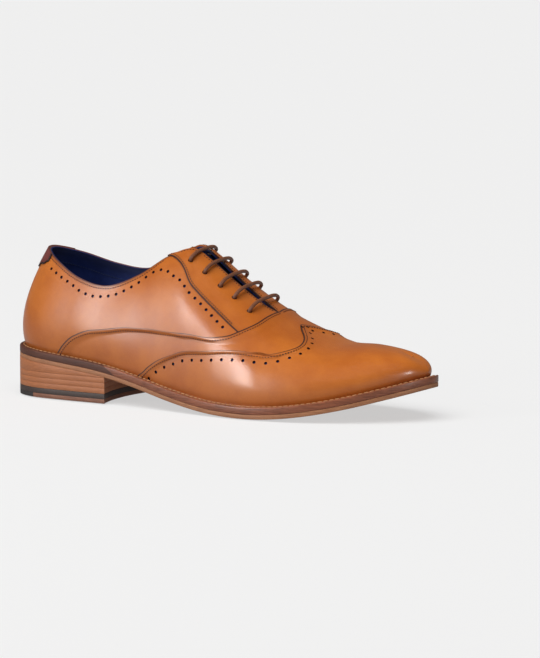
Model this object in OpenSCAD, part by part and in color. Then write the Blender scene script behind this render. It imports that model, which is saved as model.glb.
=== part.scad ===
// Wing-tip oxford shoe, right foot, size EU 42 to 43.
// +X runs from heel to toe, +Y towards the inner side of the foot, +Z up.
// The origin is at the bottom centre of the shoe's bounding box.

/* [Shape] */
// Length of the line where the upper meets the sole, heel to toe
last_l = 299; // [280:1:320]
// Height of the outsole's underside at the back of the heel
heel_h = 26; // [20:0.5:32]
// Height of the outsole's underside at the tip of the toe
toe_spring = 21.6; // [12:0.1:26]

/* [Sole] */
// Thickness of the welt and of the heel rand
welt_t = 4.8; // [3:0.1:6]
// Thickness of the outsole
outsole_t = 3; // [2:0.1:6]
// Width of the welt beyond the upper at heel and waist
welt_w_back = 4; // [2:0.1:6]
// Width of the welt beyond the upper at ball and toe
welt_w_front = 5.5; // [3:0.1:8]
// Thickness of the insole board
insole_t = 2.5; // [1.5:0.1:4]
// Thickness of the sock liner
sock_t = 0.9; // [0.5:0.1:2]

/* [Heel] */
// Distance from the back of the heel to its breast
heel_l = 80; // [70:1:90]
// Thickness of the lowest layer of the heel
top_piece_t = 3; // [2:0.1:4]
// Thickness of the rubber layer above it
heel_rubber_t = 3.6; // [2:0.1:5]
// Thickness of each flat leather lift
lift_t = 3.6; // [3:0.1:4]
// Length of the rubber corner at the back of the lowest layer
rubber_corner_l = 24; // [15:1:40]

/* [Upper] */
// Thickness of the outer leather
leather_t = 1.1; // [0.9:0.1:1.4]
// Thickness of the lining leather
lining_t = 0.85; // [0.6:0.05:1]
// Thickness of the heel counter and of the toe puff
stiffener_t = 0.9; // [0.6:0.1:1.5]
// Diameter of a lace hole
lace_hole_d = 3.5; // [3.2:0.1:4.5]

/* [Lace] */
// Diameter of the round lace
lace_d = 2.5; // [2:0.1:3]
// Height of a lace bar above the gap between the facings
lace_arch = 4; // [2:0.5:9]
// Length of an aglet
aglet_l = 20; // [12:1:25]

/* [Hidden] */

k = last_l / 299;                  // scale of the tables below
gap = 0.35;                        // room between layers of the upper, for their facets
fit = 0.05;                        // clearance between layers of the sole
seat = 0.15;                       // height of the upper above the welt
sole_t = welt_t + outsole_t;
origin = [154.25 * k, -2.45 * k, 0];  // bottom centre of the box, in the tables' frame

// Underside of the outsole, seen from the side: x and height
under_line = [[0, heel_h], [40, 0.87 * heel_h], [79, 0.71 * heel_h], [108, 0.49 * heel_h],
              [136, 0.25 * heel_h], [162, 0.085 * heel_h], [186, 0.01 * heel_h],
              [210, 0.02 * toe_spring], [235, 0.14 * toe_spring], [262, 0.38 * toe_spring],
              [288, 0.7 * toe_spring], [310, toe_spring]];

// Stations 0 to 15 run from the back of the heel to the tip of the toe on each side.
// Feather line, where the upper meets the welt: x and y
feather_lateral = [[4, 0], [9.5, -17], [26, -27.5], [52, -31], [80, -33], [104, -35], [122, -37.5],
                   [138, -40], [152, -42.5], [176, -46.5], [205, -48], [233, -44.5], [259, -35.5],
                   [281, -23], [297, -9], [303, 4]];
feather_medial = [[4, 0], [9.5, 17], [26, 27], [52, 29], [80, 26.8], [104, 25], [122, 25],
                  [138, 27], [152, 30], [176, 37], [205, 42.5], [233, 42.5], [259, 37],
                  [282, 28.5], [298, 16], [303, 4]];
// Upper rim: topline, facing corner, lacing edge, then the ridge of the forepart: x, y, z
rim_lateral = [[21, 0, 99.5], [24.5, -10, 98], [37, -18.5, 91.5], [57, -24.5, 82], [80, -26.5, 78],
               [102, -22.5, 86], [120, -14.5, 98.5], [135, -7.5, 104], [147, -5, 97.5],
               [166, -3.5, 83], [189, -2, 67.5], [213, 0, 55.5], [238, 2, 46.6], [262, 4, 46],
               [280, 5, 44], [291, 6, 40.2]];
rim_medial = [[21, 0, 99.5], [24.5, 10, 98], [37, 18.5, 94], [57, 25, 87.5], [80, 26, 85],
              [102, 21, 92], [120, 13.5, 100.5], [135, 6, 105], [147, 4, 98.5], [166, 2.5, 84],
              [189, 1, 68], [213, 0, 55.5], [238, 2, 46.6], [262, 4, 46], [280, 5, 44],
              [291, 6, 40.2]];
// Fullness of the wall at each station: out and up from the feather line, out and down from the rim
full_lateral = [[8, 22, 9, 15], [7, 22, 8, 15], [6, 22, 7, 15], [5, 21, 6, 16], [4, 20, 6, 17],
                [4, 24, 9, 14], [4, 28, 14, 9], [4, 32, 19, 4], [4, 32, 23, 2.5], [5, 28, 28, 2.5],
                [7, 22, 33, 3.5], [7, 19, 33, 4], [7, 17, 29, 2], [6, 15, 22, 0.8], [5, 11, 15, 0.95],
                [4, 6, 10, 3.7]];
full_medial = [[8, 22, 9, 15], [7, 22, 8, 15], [6, 22, 7, 15], [5, 21, 6, 16], [4, 20, 6, 17],
               [4, 26, 9, 12], [4, 32, 14, 6], [4, 36, 19, 0], [4, 36, 24, -1.5], [5, 30, 28, -2.5],
               [7, 24, 33, -3.5], [7, 20, 33, -4], [7, 17, 29, -2], [6, 15, 22, -0.8],
               [5, 11, 15, 0.95], [4, 6, 10, 3.7]];
toe_station = 15;
throat_station = 10.3;             // where the facings meet in front of the laces

// Seams as station and height share, from the feather line to the ridge; the two lists match
// point for point, so the vamp is ruled between them.
vamp_seam = [[2.67, 0], [2.93, 0.145], [3.26, 0.278], [3.76, 0.4], [4.58, 0.437], [5.69, 0.377],
             [6.99, 0.336], [8.41, 0.384], [9.17, 0.466], [9.6, 0.566], [10.02, 0.72],
             [10.2, 0.86], [10.3, 1]];
wing_seam = [[5.26, 0], [5.36, 0.022], [5.52, 0.05], [5.84, 0.11], [6.35, 0.17], [7.22, 0.222],
             [8.37, 0.292], [9.18, 0.373], [9.83, 0.447], [10.54, 0.5], [11.2, 0.66],
             [11.3, 0.83], [10.95, 1]];
facing_foot = 9;                   // point of the vamp seam where the facing seam ends
// Seam between quarter and facing, from the topline down to the vamp seam
facing_seam = [[6, 1], [6.75, 0.8], [7.48, 0.67], [8.1, 0.63], [8.85, 0.605], [9.6, 0.566]];
facing_corner = 7.6;               // station of the facing's upper front corner
seam_steps = 2;                    // facets between two points of a seam
wall_rows = 12;                    // facets of a quarter, bottom to top

// Lace holes from the top pair to the bottom pair: station and height share
holes = [[7.3, 0.82], [8.15, 0.81], [8.76, 0.815], [9.25, 0.82], [9.75, 0.81]];
lace_depth = -(leather_t + gap + lining_t + lace_d / 2 + 0.35);
tongue_depth = lace_depth - lace_d / 2 - 0.4;
tongue_t = 1.1;
tongue_lining_t = 0.8;

// Routes of the free lace ends inside the shoe, in the part's own frame
lateral_route = [[-13, -15.5, 88.3], [-19, -17.5, 87], [-26, -18.5, 84.5], [-33.5, -21, 77], [-41, -24, 66],
                 [-49, -26.5, 52], [-60, -25, 38.9], [-72, -20, 33.9], [-84, -14, 35.4], [-96, -8, 36.7],
                 [-108, -1, 37.9], [-118, 8, 38.8], [-112, 16, 38.3], [-101, 19, 37.2], [-89, 18, 36],
                 [-78, 16.5, 34.7], [-58.5, 13, 32.3]];
medial_route = [[-20, 15.2, 96.8], [-27, 17, 94.3], [-35, 20, 87], [-42, 22, 76], [-47, 23, 63],
                [-48, 23, 50], [-45, 21, 38.5], [-37, 16, 29], [-26, 10, 23.8], [-15, 3, 21.3],
                [-4, -4, 19.4], [7, -10, 17.7], [19, -13, 16.4], [31, -13, 15.7], [43, -10, 15.7],
                [54, -5, 15.9], [73, 3, 17.4]];

// ---- curves ----
function cubic(a, b, c, d, t) =
    0.5 * (2 * b + (c - a) * t + (2 * a - 5 * b + 4 * c - d) * t * t + (3 * b - a - 3 * c + d) * t * t * t);
function wrap(i, n) = (i % n + n) % n;
function loop_at(list, t) = let (n = len(list), i = floor(t))
    cubic(list[wrap(i - 1, n)], list[wrap(i, n)], list[wrap(i + 1, n)], list[wrap(i + 2, n)], t - i);
function curve_at(list, t, before, after) =
    let (n = len(list), i = max(0, min(n - 2, floor(t))))
    cubic(i == 0 ? before : list[i - 1], list[i], list[i + 1], i == n - 2 ? after : list[i + 2], t - i);
function line_at(list, t) = let (n = len(list))
    curve_at(list, t, 2 * list[0] - list[1], 2 * list[n - 1] - list[n - 2]);
function mix(a, b, t) = a + (b - a) * t;
function smooth(a, b, x) = let (t = max(0, min(1, (x - a) / (b - a)))) t * t * (3 - 2 * t);
function unit(v) = v / norm(v);

// ---- side line of the sole ----
function slope(tab, i) =
    let (a = max(0, i - 1), b = min(len(tab) - 1, i + 1)) (tab[b][1] - tab[a][1]) / (tab[b][0] - tab[a][0]);
function span(tab, x, i = 0) = (i >= len(tab) - 2 || x < tab[i + 1][0]) ? i : span(tab, x, i + 1);
function under_z(x) = let (
    i = span(under_line, x / k),
    a = under_line[i],
    b = under_line[i + 1],
    w = b[0] - a[0],
    t = (x / k - a[0]) / w)
    a[1] * (1 + 2 * t) * (1 - t) * (1 - t) + b[1] * t * t * (3 - 2 * t)
    + w * slope(under_line, i) * t * (1 - t) * (1 - t) - w * slope(under_line, i + 1) * t * t * (1 - t);
function feather_z(x) = under_z(x) + sole_t;

// ---- outer face of the upper ----
// s is the station with a sign: minus on the lateral side, plus on the medial side.
// h runs from 0 at the feather line to 1 at the rim; below 0 it is the lasting margin, turned in
// under the insole, and above 1 it goes over the ridge to the other side.
feather = concat(feather_lateral, [for (i = [14 : -1 : 1]) feather_medial[i]]);
function foot(s) = k * loop_at(feather, wrap(-s, 30));
function foot_out(s) = let (d = foot(s - 0.02) - foot(s + 0.02)) unit([d[1], -d[0]]);
function rim_side(s) = let (r = s < 0 ? rim_lateral : rim_medial, p = r[1])
    k * curve_at(r, abs(s), [p[0], -p[1], p[2]], 2 * r[15] - r[14]);
function rim(s) = let (t = smooth(10, throat_station, abs(s)))
    mix(rim_side(s), (rim_side(abs(s)) + rim_side(-abs(s) - 1e-9)) / 2, t);
function full(s) = let (f = s < 0 ? full_lateral : full_medial) k * curve_at(f, abs(s), f[1], f[14]);
function rim_out(s) = let (
    n = foot_out(s),
    side = [0, s < 0 ? -1 : 1],
    t = abs(s) < 10 ? smooth(5, 7, abs(s)) : 1 - smooth(13, 15, abs(s)))
    unit(mix(n, side, t));
function flat(p, z) = [p[0], p[1], z];
function margin(s, t) = let (p = foot(s), c = [154 * k, 0])
    mix(p, [mix(p[0], c[0], 0.07), 0.76 * p[1]], t);
function wall(s, h) = let (
    p = foot(s), f = full(s), r = rim(s), n = foot_out(s), m = rim_out(s),
    a = flat(p, feather_z(p[0]) + seat),
    b = a + [n[0] * f[0], n[1] * f[0], f[1]],
    c = r + [m[0] * f[2], m[1] * f[2], -f[3]],
    g = 1 - h)
    a * g * g * g + b * 3 * g * g * h + c * 3 * g * h * h + r * h * h * h;
function skin(s, h) =
    s > 15 ? skin(s - 30, h) :
    s < -15 ? skin(s + 30, h) :
    h < 0 ? let (p = margin(s, -h)) flat(p, feather_z(p[0]) + seat) :
    h > 1 && abs(s) > throat_station ? wall(-s, 2 - h) : wall(s, h);
function skin_out(s, h) = h < 0 ? [0, 0, -1] :
    abs(s) > 14.9 && h > 0.97 && h < 1.03 ? skin_out(s, 0.97) : let (
    a = skin(s + 0.02, h) - skin(s - 0.02, h),
    b = skin(s, h + 0.01) - (h < 0.01 ? skin(s, -0.1) : skin(s, h - 0.01)))
    unit(cross(b, a));
function face(p, d) = skin(p[0], p[1]) + d * skin_out(p[0], p[1]);

// Room between outer leather and lining for the heel counter and the toe puff
function stiffener_room(p) = let (u = abs(p[0]), h = p[1] > 1 ? 2 - p[1] : p[1]) (stiffener_t + gap - fit)
    * smooth(0, 0.05, h) * max((1 - smooth(3.4, 4.6, u)) * (1 - smooth(0.6, 0.8, h)), smooth(12.1, 12.8, u));

// ---- shells ----
// Closed solid over a grid of points: rows of outer points and matching rows of inner points.
// shut folds the last row in half, where the two sides meet at the toe; flip turns the faces over.
module shell(outer, inner, shut, flip) {
    a = len(outer) - 1;
    b = len(outer[0]) - 1;
    layer = (a + 1) * (b + 1);
    function at(i, j, l) = l * layer + i * (b + 1) + ((shut && i == a && j > b / 2) ? b - j : j);
    function quad(p, q, r, t) = [[p, q, r], [p, r, t]];
    skins = [for (i = [0 : a - 1]) for (j = [0 : b - 1]) each concat(
        quad(at(i, j, 0), at(i, j + 1, 0), at(i + 1, j + 1, 0), at(i + 1, j, 0)),
        quad(at(i, j, 1), at(i + 1, j, 1), at(i + 1, j + 1, 1), at(i, j + 1, 1)))];
    ends = [for (j = [0 : b - 1]) each concat(
        quad(at(0, j, 0), at(0, j, 1), at(0, j + 1, 1), at(0, j + 1, 0)),
        shut ? [] : quad(at(a, j, 0), at(a, j + 1, 0), at(a, j + 1, 1), at(a, j, 1)))];
    sides = [for (i = [0 : a - 1]) each concat(
        quad(at(i, 0, 0), at(i + 1, 0, 0), at(i + 1, 0, 1), at(i, 0, 1)),
        quad(at(i, b, 0), at(i, b, 1), at(i + 1, b, 1), at(i + 1, b, 0)))];
    points = concat([for (row = outer) for (p = row) p], [for (row = inner) for (p = row) p]);
    polyhedron(points, [for (f = concat(skins, ends, sides))
        if (f[0] != f[1] && f[1] != f[2] && f[0] != f[2]) flip ? [f[2], f[1], f[0]] : f]);
}

// Layer of the upper between two depths; lined sinks it behind the stiffeners
module layer(grid, top, bottom, shut = false, lined = false, flip = false) {
    function d(p, x) = x - (lined ? stiffener_room(p) : 0);
    translate(-origin)
        shell([for (row = grid) [for (p = row) face(p, d(p, top))]],
              [for (row = grid) [for (p = row) face(p, d(p, bottom))]], shut, flip);
}

// Share of height at step j of a strip that climbs one side, crosses the ridge and goes down
function over(j, n) = j <= n ? [-1, j / n] : [1, (2 * n - j) / n];
function tagged(side, p) = [side * p[0], p[1]];

seam_n = 12 * seam_steps;
function seam_over(i, steps, from, to) = [
    for (j = [-1 : 2 * seam_n + 1]) let (
        o = over(max(0, min(2 * seam_n, j)), seam_n),
        p = mix(from(o[1]), to(o[1]), i / steps),
        low = j < 0 || j > 2 * seam_n)
    tagged(o[0], low ? [p[0], -1] : p)];
function on_vamp_seam(t) = line_at(vamp_seam, 12 * t);
function on_wing_seam(t) = line_at(wing_seam, 12 * t);
function on_toe(t) = [toe_station, t];
function vamp_grid(steps) =
    [for (i = [0 : steps]) seam_over(i, steps, function(t) on_vamp_seam(t), function(t) on_wing_seam(t))];
function wing_grid(steps) =
    [for (i = [0 : steps]) seam_over(i, steps, function(t) on_wing_seam(t), function(t) on_toe(t))];

// Quarter: foot curve along the feather line and the vamp seam, top curve along the topline
heel_steps = 8;
quarter_n = heel_steps + facing_foot * seam_steps;
function quarter_foot(i) = i <= heel_steps ? [vamp_seam[0][0] * i / heel_steps, 0]
    : line_at(vamp_seam, (i - heel_steps) / seam_steps);
function quarter_top(i) = [facing_seam[0][0] * i / quarter_n, 1];
function quarter_front(j) = line_at(facing_seam, 5 * (1 - j / wall_rows));
function quarter_at(i, j) = let (
    a = i / quarter_n, b = j / wall_rows,
    c0 = quarter_foot(i), c1 = quarter_top(i), d0 = [0, b], d1 = quarter_front(j))
    mix(c0, c1, b) + mix(d0, d1, a)
    - mix(mix(quarter_foot(0), quarter_foot(quarter_n), a),
          mix(quarter_top(0), quarter_top(quarter_n), a), b);
function quarter_grid(side) = [for (i = [0 : quarter_n])
    [for (j = [0 : wall_rows]) tagged(side, quarter_at(i, j))]];
function quarter_margin(side) = [for (i = [0 : heel_steps])
    [for (h = [-1, 0]) tagged(side, [quarter_foot(i)[0], h])]];

// Facing: from its seam with the quarter to the lacing edge
facing_cols = 3 * seam_steps;
function facing_at(i, j) = let (
    a = i / wall_rows, b = j / facing_cols,
    c0 = line_at(facing_seam, 5 * a), c1 = [mix(facing_corner, throat_station, a), 1],
    d0 = [mix(facing_seam[0][0], facing_corner, b), 1],
    d1 = line_at(vamp_seam, facing_foot + j / seam_steps))
    mix(c0, c1, b) + mix(d0, d1, a)
    - mix(mix(facing_seam[0], [facing_corner, 1], b), mix(facing_seam[5], vamp_seam[12], b), a);
function facing_grid(side) = [for (i = [0 : wall_rows])
    [for (j = [0 : facing_cols]) tagged(side, facing_at(i, j))]];

// Plain grids by station and height
function plain_grid(side, s0, s1, ns, h0, h1, nh, low = false) = [for (i = [0 : ns]) concat(
    low ? [tagged(side, [mix(s0, s1, i / ns), -1])] : [],
    [for (j = [0 : nh]) tagged(side, [mix(s0, s1, i / ns), mix(h0, h1, j / nh)])])];
function over_grid(s0, s1, ns, n, low = false) = [for (i = [0 : ns]) let (s = mix(s0, s1, i / ns)) concat(
    low ? [[-s, -1]] : [],
    [for (j = [0 : 2 * n]) let (o = over(j, n)) [o[0] * s, o[1]]],
    low ? [[s, -1]] : [])];

module lace_hole_cutters(side) {
    translate(-origin)
        for (p = holes) {
            c = face(tagged(side, p), 0);
            n = skin_out(side * p[0], p[1]);
            translate(c)
                rotate([0, acos(n[2]), atan2(n[1], n[0])])
                    translate([0, 0, -4])
                        cylinder(d = lace_hole_d, h = 6, $fn = 32);
        }
}

// ---- upper ----
module wing_cap() {
    color("#b8692a") layer(wing_grid(26), 0, -leather_t, shut = true);
}
module vamp() {
    color("#bb6c2c") layer(vamp_grid(6), 0, -leather_t);
}
module quarter(side) {
    flip = side > 0;
    layer(quarter_grid(side), 0, -leather_t, flip = flip);
    layer(quarter_margin(side), 0, -leather_t, flip = flip);
}
module quarter_lateral() {
    color("#bd6e2d") quarter(-1);
}
module quarter_medial() {
    color("#bd6e2d") quarter(1);
}
module facing(side) {
    difference() {
        layer(facing_grid(side), 0, -leather_t, flip = side > 0);
        lace_hole_cutters(side);
    }
}
module facing_lateral() {
    color("#b8692a") facing(-1);
}
module facing_medial() {
    color("#b8692a") facing(1);
}
// Burgundy tab at the top of the back seam, with a scalloped lower edge
tab_half = 1.5;
tab_edge = [[0, 0.72], [0.5, 0.75], [1, 0.8], [1.5, 0.9]];
tab_grid = [for (i = [-6 : 6]) let (e = line_at(tab_edge, abs(i) / 2))
    [for (j = [0 : 4]) [tab_half * i / 6, mix(e[1], 1, j / 4)]]];
module heel_tab() {
    color("#4a1f1c") layer(tab_grid, 1, 0.15, flip = true);
}
// Narrow strip over the back seam, below the tab
strip_half = 0.28;
module back_strip() {
    grid = [for (i = [-1 : 1]) [for (j = [0 : 8]) [strip_half * i, mix(0.02, 0.69, j / 8)]]];
    color("#4a1f1c") layer(grid, 0.8, 0.15, flip = true);
}

// ---- lining and stiffeners ----
lining_top = -(leather_t + gap);
lining_bottom = lining_top - lining_t;
stiffener_top = lining_top + 0.05;
module quarter_lining(side) {
    grid = plain_grid(side, 0, throat_station, 28, 0, 1, wall_rows, low = true);
    difference() {
        layer(grid, lining_top, lining_bottom, lined = true, flip = side > 0);
        lace_hole_cutters(side);
    }
}
module quarter_lining_lateral() {
    color("#1d2a5c") quarter_lining(-1);
}
module quarter_lining_medial() {
    color("#1d2a5c") quarter_lining(1);
}
module vamp_lining() {
    grid = over_grid(throat_station, toe_station, 14, 16, low = true);
    color("#1d2a5c") layer(grid, lining_top, lining_bottom, shut = true, lined = true);
}
module heel_counter() {
    grid = [for (i = [-12 : 12]) let (s = 3.3 * i / 12) [for (j = [0 : 6])
        [s, mix(0.06, 0.58 - 0.012 * s * s, j / 6)]]];
    color("#c9b79a") layer(grid, stiffener_top, stiffener_top - stiffener_t, flip = true);
}
module toe_puff() {
    grid = [for (i = [0 : 8]) let (s = mix(12.9, toe_station, i / 8)) [for (j = [0 : 24])
        let (o = over(j, 12)) [o[0] * s, mix(0.06, 1, o[1])]]];
    color("#c9b79a") layer(grid, stiffener_top, stiffener_top - stiffener_t, shut = true);
}

// ---- tongue ----
// Rows run from the sewn foot under the vamp to the free tip, shares run from -1 to 1 across
tongue_rows = [10.7, 10.3, 9.9, 9.5, 9, 8.5, 8, 7.6];
tongue_tip = [4, 8];               // how far the last rows reach past the facings
tongue_shares = [-1, -0.75, -0.5, -0.25, 0, 0.25, 0.5, 0.75, 1];
// Share of the wall's height that each half covers, less at the sewn foot
function tongue_spread(s) = mix(0.38, 0.2, smooth(9.2, 10.6, s));
function tongue_sink(s) = mix(tongue_depth, lining_bottom - 0.5, smooth(9.9, 10.5, s));
function tongue_point(s, c, d) =
    c == 0 ? (face([s, 1], d) + face([-s, 1], d)) / 2
    : face([c < 0 ? -s : s, 1 - tongue_spread(s) * abs(c)], d);
function tongue_row(s, d) = [for (c = tongue_shares) tongue_point(s, c, tongue_sink(s) - d)];
function tongue_face(d) = let (
    rows = [for (s = tongue_rows) tongue_row(s, d)],
    last = rows[len(rows) - 1])
    concat(rows, [for (e = tongue_tip) [for (i = [0 : len(last) - 1])
        last[i] + [-0.95, 0, 0.3] * e * (1 - 0.8 * pow(tongue_shares[i], 2))]]);
module tongue() {
    color("#b5682b") translate(-origin) shell(tongue_face(0), tongue_face(tongue_t), false, true);
}
module tongue_lining() {
    color("#1d2a5c") translate(-origin)
        shell(tongue_face(tongue_t + fit), tongue_face(tongue_t + fit + tongue_lining_t), false, true);
}

// ---- sole ----
function outline_point(s, w) = foot(s) + w * foot_out(s);
function welt_w(s) = mix(welt_w_back, welt_w_front, smooth(90 * k, 170 * k, foot(s)[0]));
outline_steps = [for (i = [0 : 89]) i / 3];
module outline(extra = 0) {
    polygon([for (t = outline_steps) let (s = t < 15 ? -t : 30 - t) outline_point(s, welt_w(s) + extra)]);
}
module inset(w) {
    polygon([for (t = outline_steps) outline_point(t < 15 ? -t : 30 - t, -w)]);
}
far = 400;
// Slice between two heights above the outsole's underside, seen from the side
module side_band(low, high, x0 = -10, x1 = 320) {
    steps = [for (i = [0 : 66]) mix(x0, x1, i / 66)];
    rotate([90, 0, 0])
        translate([0, 0, -far / 2])
            linear_extrude(far)
                polygon(concat([for (x = steps) [x, under_z(x) + high]],
                               [for (i = [66 : -1 : 0]) [steps[i], under_z(steps[i]) + low]]));
}
module tall(z0 = -20, z1 = 120) {
    translate([0, 0, z0])
        linear_extrude(z1 - z0)
            children();
}
welt_inner = 7;                    // how far the welt reaches under the upper
skive = [83 * k, 93 * k];          // slanted joint of rand and welt: x at the top and at the bottom
module skive_side(back) {
    x = back ? -20 : 330;
    g = back ? 0 : fit;
    rotate([90, 0, 0])
        translate([0, 0, -far / 2])
            linear_extrude(far)
                polygon([[x, -10], [skive[1] + 10 + g, under_z(skive[1]) + outsole_t - welt_t],
                         [skive[0] - 10 + g, under_z(skive[0]) + sole_t + welt_t], [x, 150]]);
}
module welt_ring(back) {
    translate(-origin)
        intersection() {
            side_band(outsole_t, sole_t);
            tall() difference() {
                outline();
                inset(welt_inner);
            }
            skive_side(back);
        }
}
module welt() {
    color("#4a2a1c") welt_ring(false);
}
module heel_rand() {
    color("#3a2019") welt_ring(true);
}
module outsole() {
    color("#b9794a") difference() {
        translate(-origin)
            intersection() {
                side_band(0, outsole_t);
                tall() outline();
            }
        nail_holes();
    }
}
module cork_filler() {
    color("#8a6a45") difference() {
        translate(-origin)
            intersection() {
                side_band(outsole_t + fit, sole_t - fit);
                tall() inset(welt_inner + 0.2);
            }
        shank_body(0.2);
        nail_holes();
    }
}
shank_x = [48, 150];
shank_w = 12;
shank_t = 1.2;
module shank_body(room = 0) {
    translate(-origin)
        intersection() {
            side_band(sole_t - 2.4 - room, sole_t - 2.4 + shank_t + 2 * room + (room > 0 ? 1 : 0));
            translate([shank_x[0] * k - room, -3 - shank_w / 2 - room, -20])
                cube([(shank_x[1] - shank_x[0]) * k + 2 * room, shank_w + 2 * room, 120]);
        }
}
module shank() {
    color("#9a9ea3") shank_body();
}
insole_z = sole_t + seat + leather_t + gap + lining_t + 0.15;
module insole_board() {
    color("#c8a477") difference() {
        translate(-origin)
            intersection() {
                side_band(insole_z, insole_z + insole_t);
                tall() inset(4);
            }
        nail_holes();
        nail_heads(0.1);
    }
}
module sock_liner() {
    color("#1d2a5c") translate(-origin)
        intersection() {
            side_band(insole_z + insole_t + fit, insole_z + insole_t + fit + sock_t);
            tall() inset(4.2);
        }
}

// ---- heel ----
lift_z = [for (i = [0 : 3]) top_piece_t + heel_rubber_t + i * lift_t];
// Heel seen from below, from its back to the slightly hollow breast
module heel_plan() {
    difference() {
        outline();
        translate([(heel_l + 160) * k, -far / 2]) mirror([1, 0]) square([160 * k, far]);
        translate([(heel_l + 160) * k, -far / 2]) square(far);
        translate([(heel_l + 118) * k, 0]) circle(r = 120 * k, $fn = 180);
    }
}
module heel_layer(z0, z1, pins = true) {
    difference() {
        translate(-origin) translate([0, 0, z0]) linear_extrude(z1 - z0) heel_plan();
        nail_holes();
        if (pins) pin_holes();
    }
}
module heel_lift_1() {
    color("#a96a3f") heel_layer(lift_z[0], lift_z[1]);
}
module heel_lift_2() {
    color("#a96a3f") heel_layer(lift_z[1], lift_z[2], pins = false);
}
module heel_lift_3() {
    color("#a96a3f") heel_layer(lift_z[2], lift_z[3], pins = false);
}
module heel_wedge() {
    color("#a96a3f") difference() {
        translate(-origin)
            intersection() {
                tall(lift_z[3], 60) heel_plan();
                side_band(-40, 0);
            }
        nail_holes();
    }
}
module heel_rubber() {
    color("#2b2624") heel_layer(top_piece_t, top_piece_t + heel_rubber_t);
}
module corner_box(room) {
    translate([-far, -far / 2]) square([far + rubber_corner_l * k + room, far]);
}
module top_piece_leather() {
    color("#b9794a") difference() {
        translate(-origin) linear_extrude(top_piece_t) difference() {
            heel_plan();
            corner_box(0);
        }
        pin_holes();
    }
}
module top_piece_rubber() {
    color("#2b2624") difference() {
        translate(-origin) linear_extrude(top_piece_t) intersection() {
            heel_plan();
            corner_box(-fit);
        }
        pin_holes();
    }
}
nail_spots = [[16, 0], [22, 13], [22, -13], [40, 15], [40, -16], [58, 14], [58, -16]];
nail_d = 2;
nail_foot = 8.5;
nail_head = [4.5, 0.7];            // diameter and height
function nail_top(p) = under_z(p[0] * k) + insole_z + insole_t - 0.1;
module at_nails() {
    translate(-origin)
        for (p = nail_spots)
            translate([p[0] * k, p[1] * k, 0])
                children();
}
module nail_holes() {
    translate(-origin)
        for (p = nail_spots)
            translate([p[0] * k, p[1] * k, nail_foot - 0.1])
                cylinder(d = nail_d + 0.1, h = 60, $fn = 24);
}
module nail_heads(room) {
    translate(-origin)
        for (p = nail_spots)
            translate([p[0] * k, p[1] * k, nail_top(p) - nail_head[1] - room - 0.4])
                cylinder(d = nail_head[0] + 2 * room, h = nail_head[1] + (room > 0 ? 5 : 0), $fn = 24);
}
module heel_nails() {
    color("#8d9196") {
        nail_heads(0);
        translate(-origin)
            for (p = nail_spots)
                translate([p[0] * k, p[1] * k, nail_foot])
                    cylinder(d = nail_d, h = nail_top(p) - nail_foot - nail_head[1] / 2 - 0.4, $fn = 24);
    }
}
pin_spots = [[9, 6], [9, -6], [17, 17], [17, -17], [34, 22], [34, -23], [52, 23], [52, -25],
             [68, 22], [68, -26], [66, 8], [66, -10]];
pin_d = 1.4;
pin_top = lift_z[0] + 1.4;
module pins(d, z0, z1) {
    translate(-origin)
        for (p = pin_spots)
            translate([p[0] * k, p[1] * k, z0])
                cylinder(d = d, h = z1 - z0, $fn = 24);
}
module pin_holes() {
    pins(pin_d + 0.1, -1, pin_top + 0.1);
}
module top_piece_pins() {
    color("#b08d4a") pins(pin_d, 0.05, pin_top);
}

// ---- lace ----
function dot(a, b) = a * b;
function turned(f, t) = unit(f - t * dot(f, t));
function tangent(path, i, t0, t1) =
    i == 0 && t0 != undef ? unit(t0) :
    i == len(path) - 1 && t1 != undef ? unit(t1) :
    unit(path[min(len(path) - 1, i + 1)] - path[max(0, i - 1)]);
function frames(path, t0, t1) = let (n = len(path), a = tangent(path, 0, t0, t1))
    [for (i = 0, f = turned(abs(a[2]) < 0.9 ? [0, 0, 1] : [0, 1, 0], a); i < n;
          i = i + 1, f = turned(f, tangent(path, min(i, n - 1), t0, t1))) f];
// Round tube along a path; t0 and t1 set the directions of its two ends
module tube(path, d, t0 = undef, t1 = undef, sides = 8) {
    n = len(path);
    f = frames(path, t0, t1);
    points = [for (i = [0 : n - 1]) let (t = tangent(path, i, t0, t1), u = turned(f[i], t), v = cross(t, u))
        for (j = [0 : sides - 1]) path[i] + d / 2 * (u * cos(360 * j / sides) + v * sin(360 * j / sides))];
    walls = [for (i = [0 : n - 2]) for (j = [0 : sides - 1]) let (
        a = i * sides + j, b = i * sides + (j + 1) % sides, c = b + sides, e = a + sides)
        each [[a, c, b], [a, e, c]]];
    caps = [[for (j = [0 : sides - 1]) j], [for (j = [sides - 1 : -1 : 0]) (n - 1) * sides + j]];
    polyhedron(points, concat(caps, walls));
}
function smooth_path(keys, steps) = let (n = len(keys))
    [for (i = [0 : (n - 1) * steps]) line_at(keys, i / steps)];

// Point of the lacing: pair p from 0 at the top, side, depth, and a shift along the row and across it
function at_hole(p, side, d, along = 0, across = 0) = let (
    q = holes[p],
    s = side * q[0],
    c = skin(s, q[1]),
    row = unit(skin(side * holes[min(4, p + 1)][0], holes[min(4, p + 1)][1])
               - skin(side * holes[max(0, p - 1)][0], holes[max(0, p - 1)][1])),
    n = skin_out(s, q[1]))
    c + d * n + along * row + across * unit(cross(n, row)) * side;
bend = 2;
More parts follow.
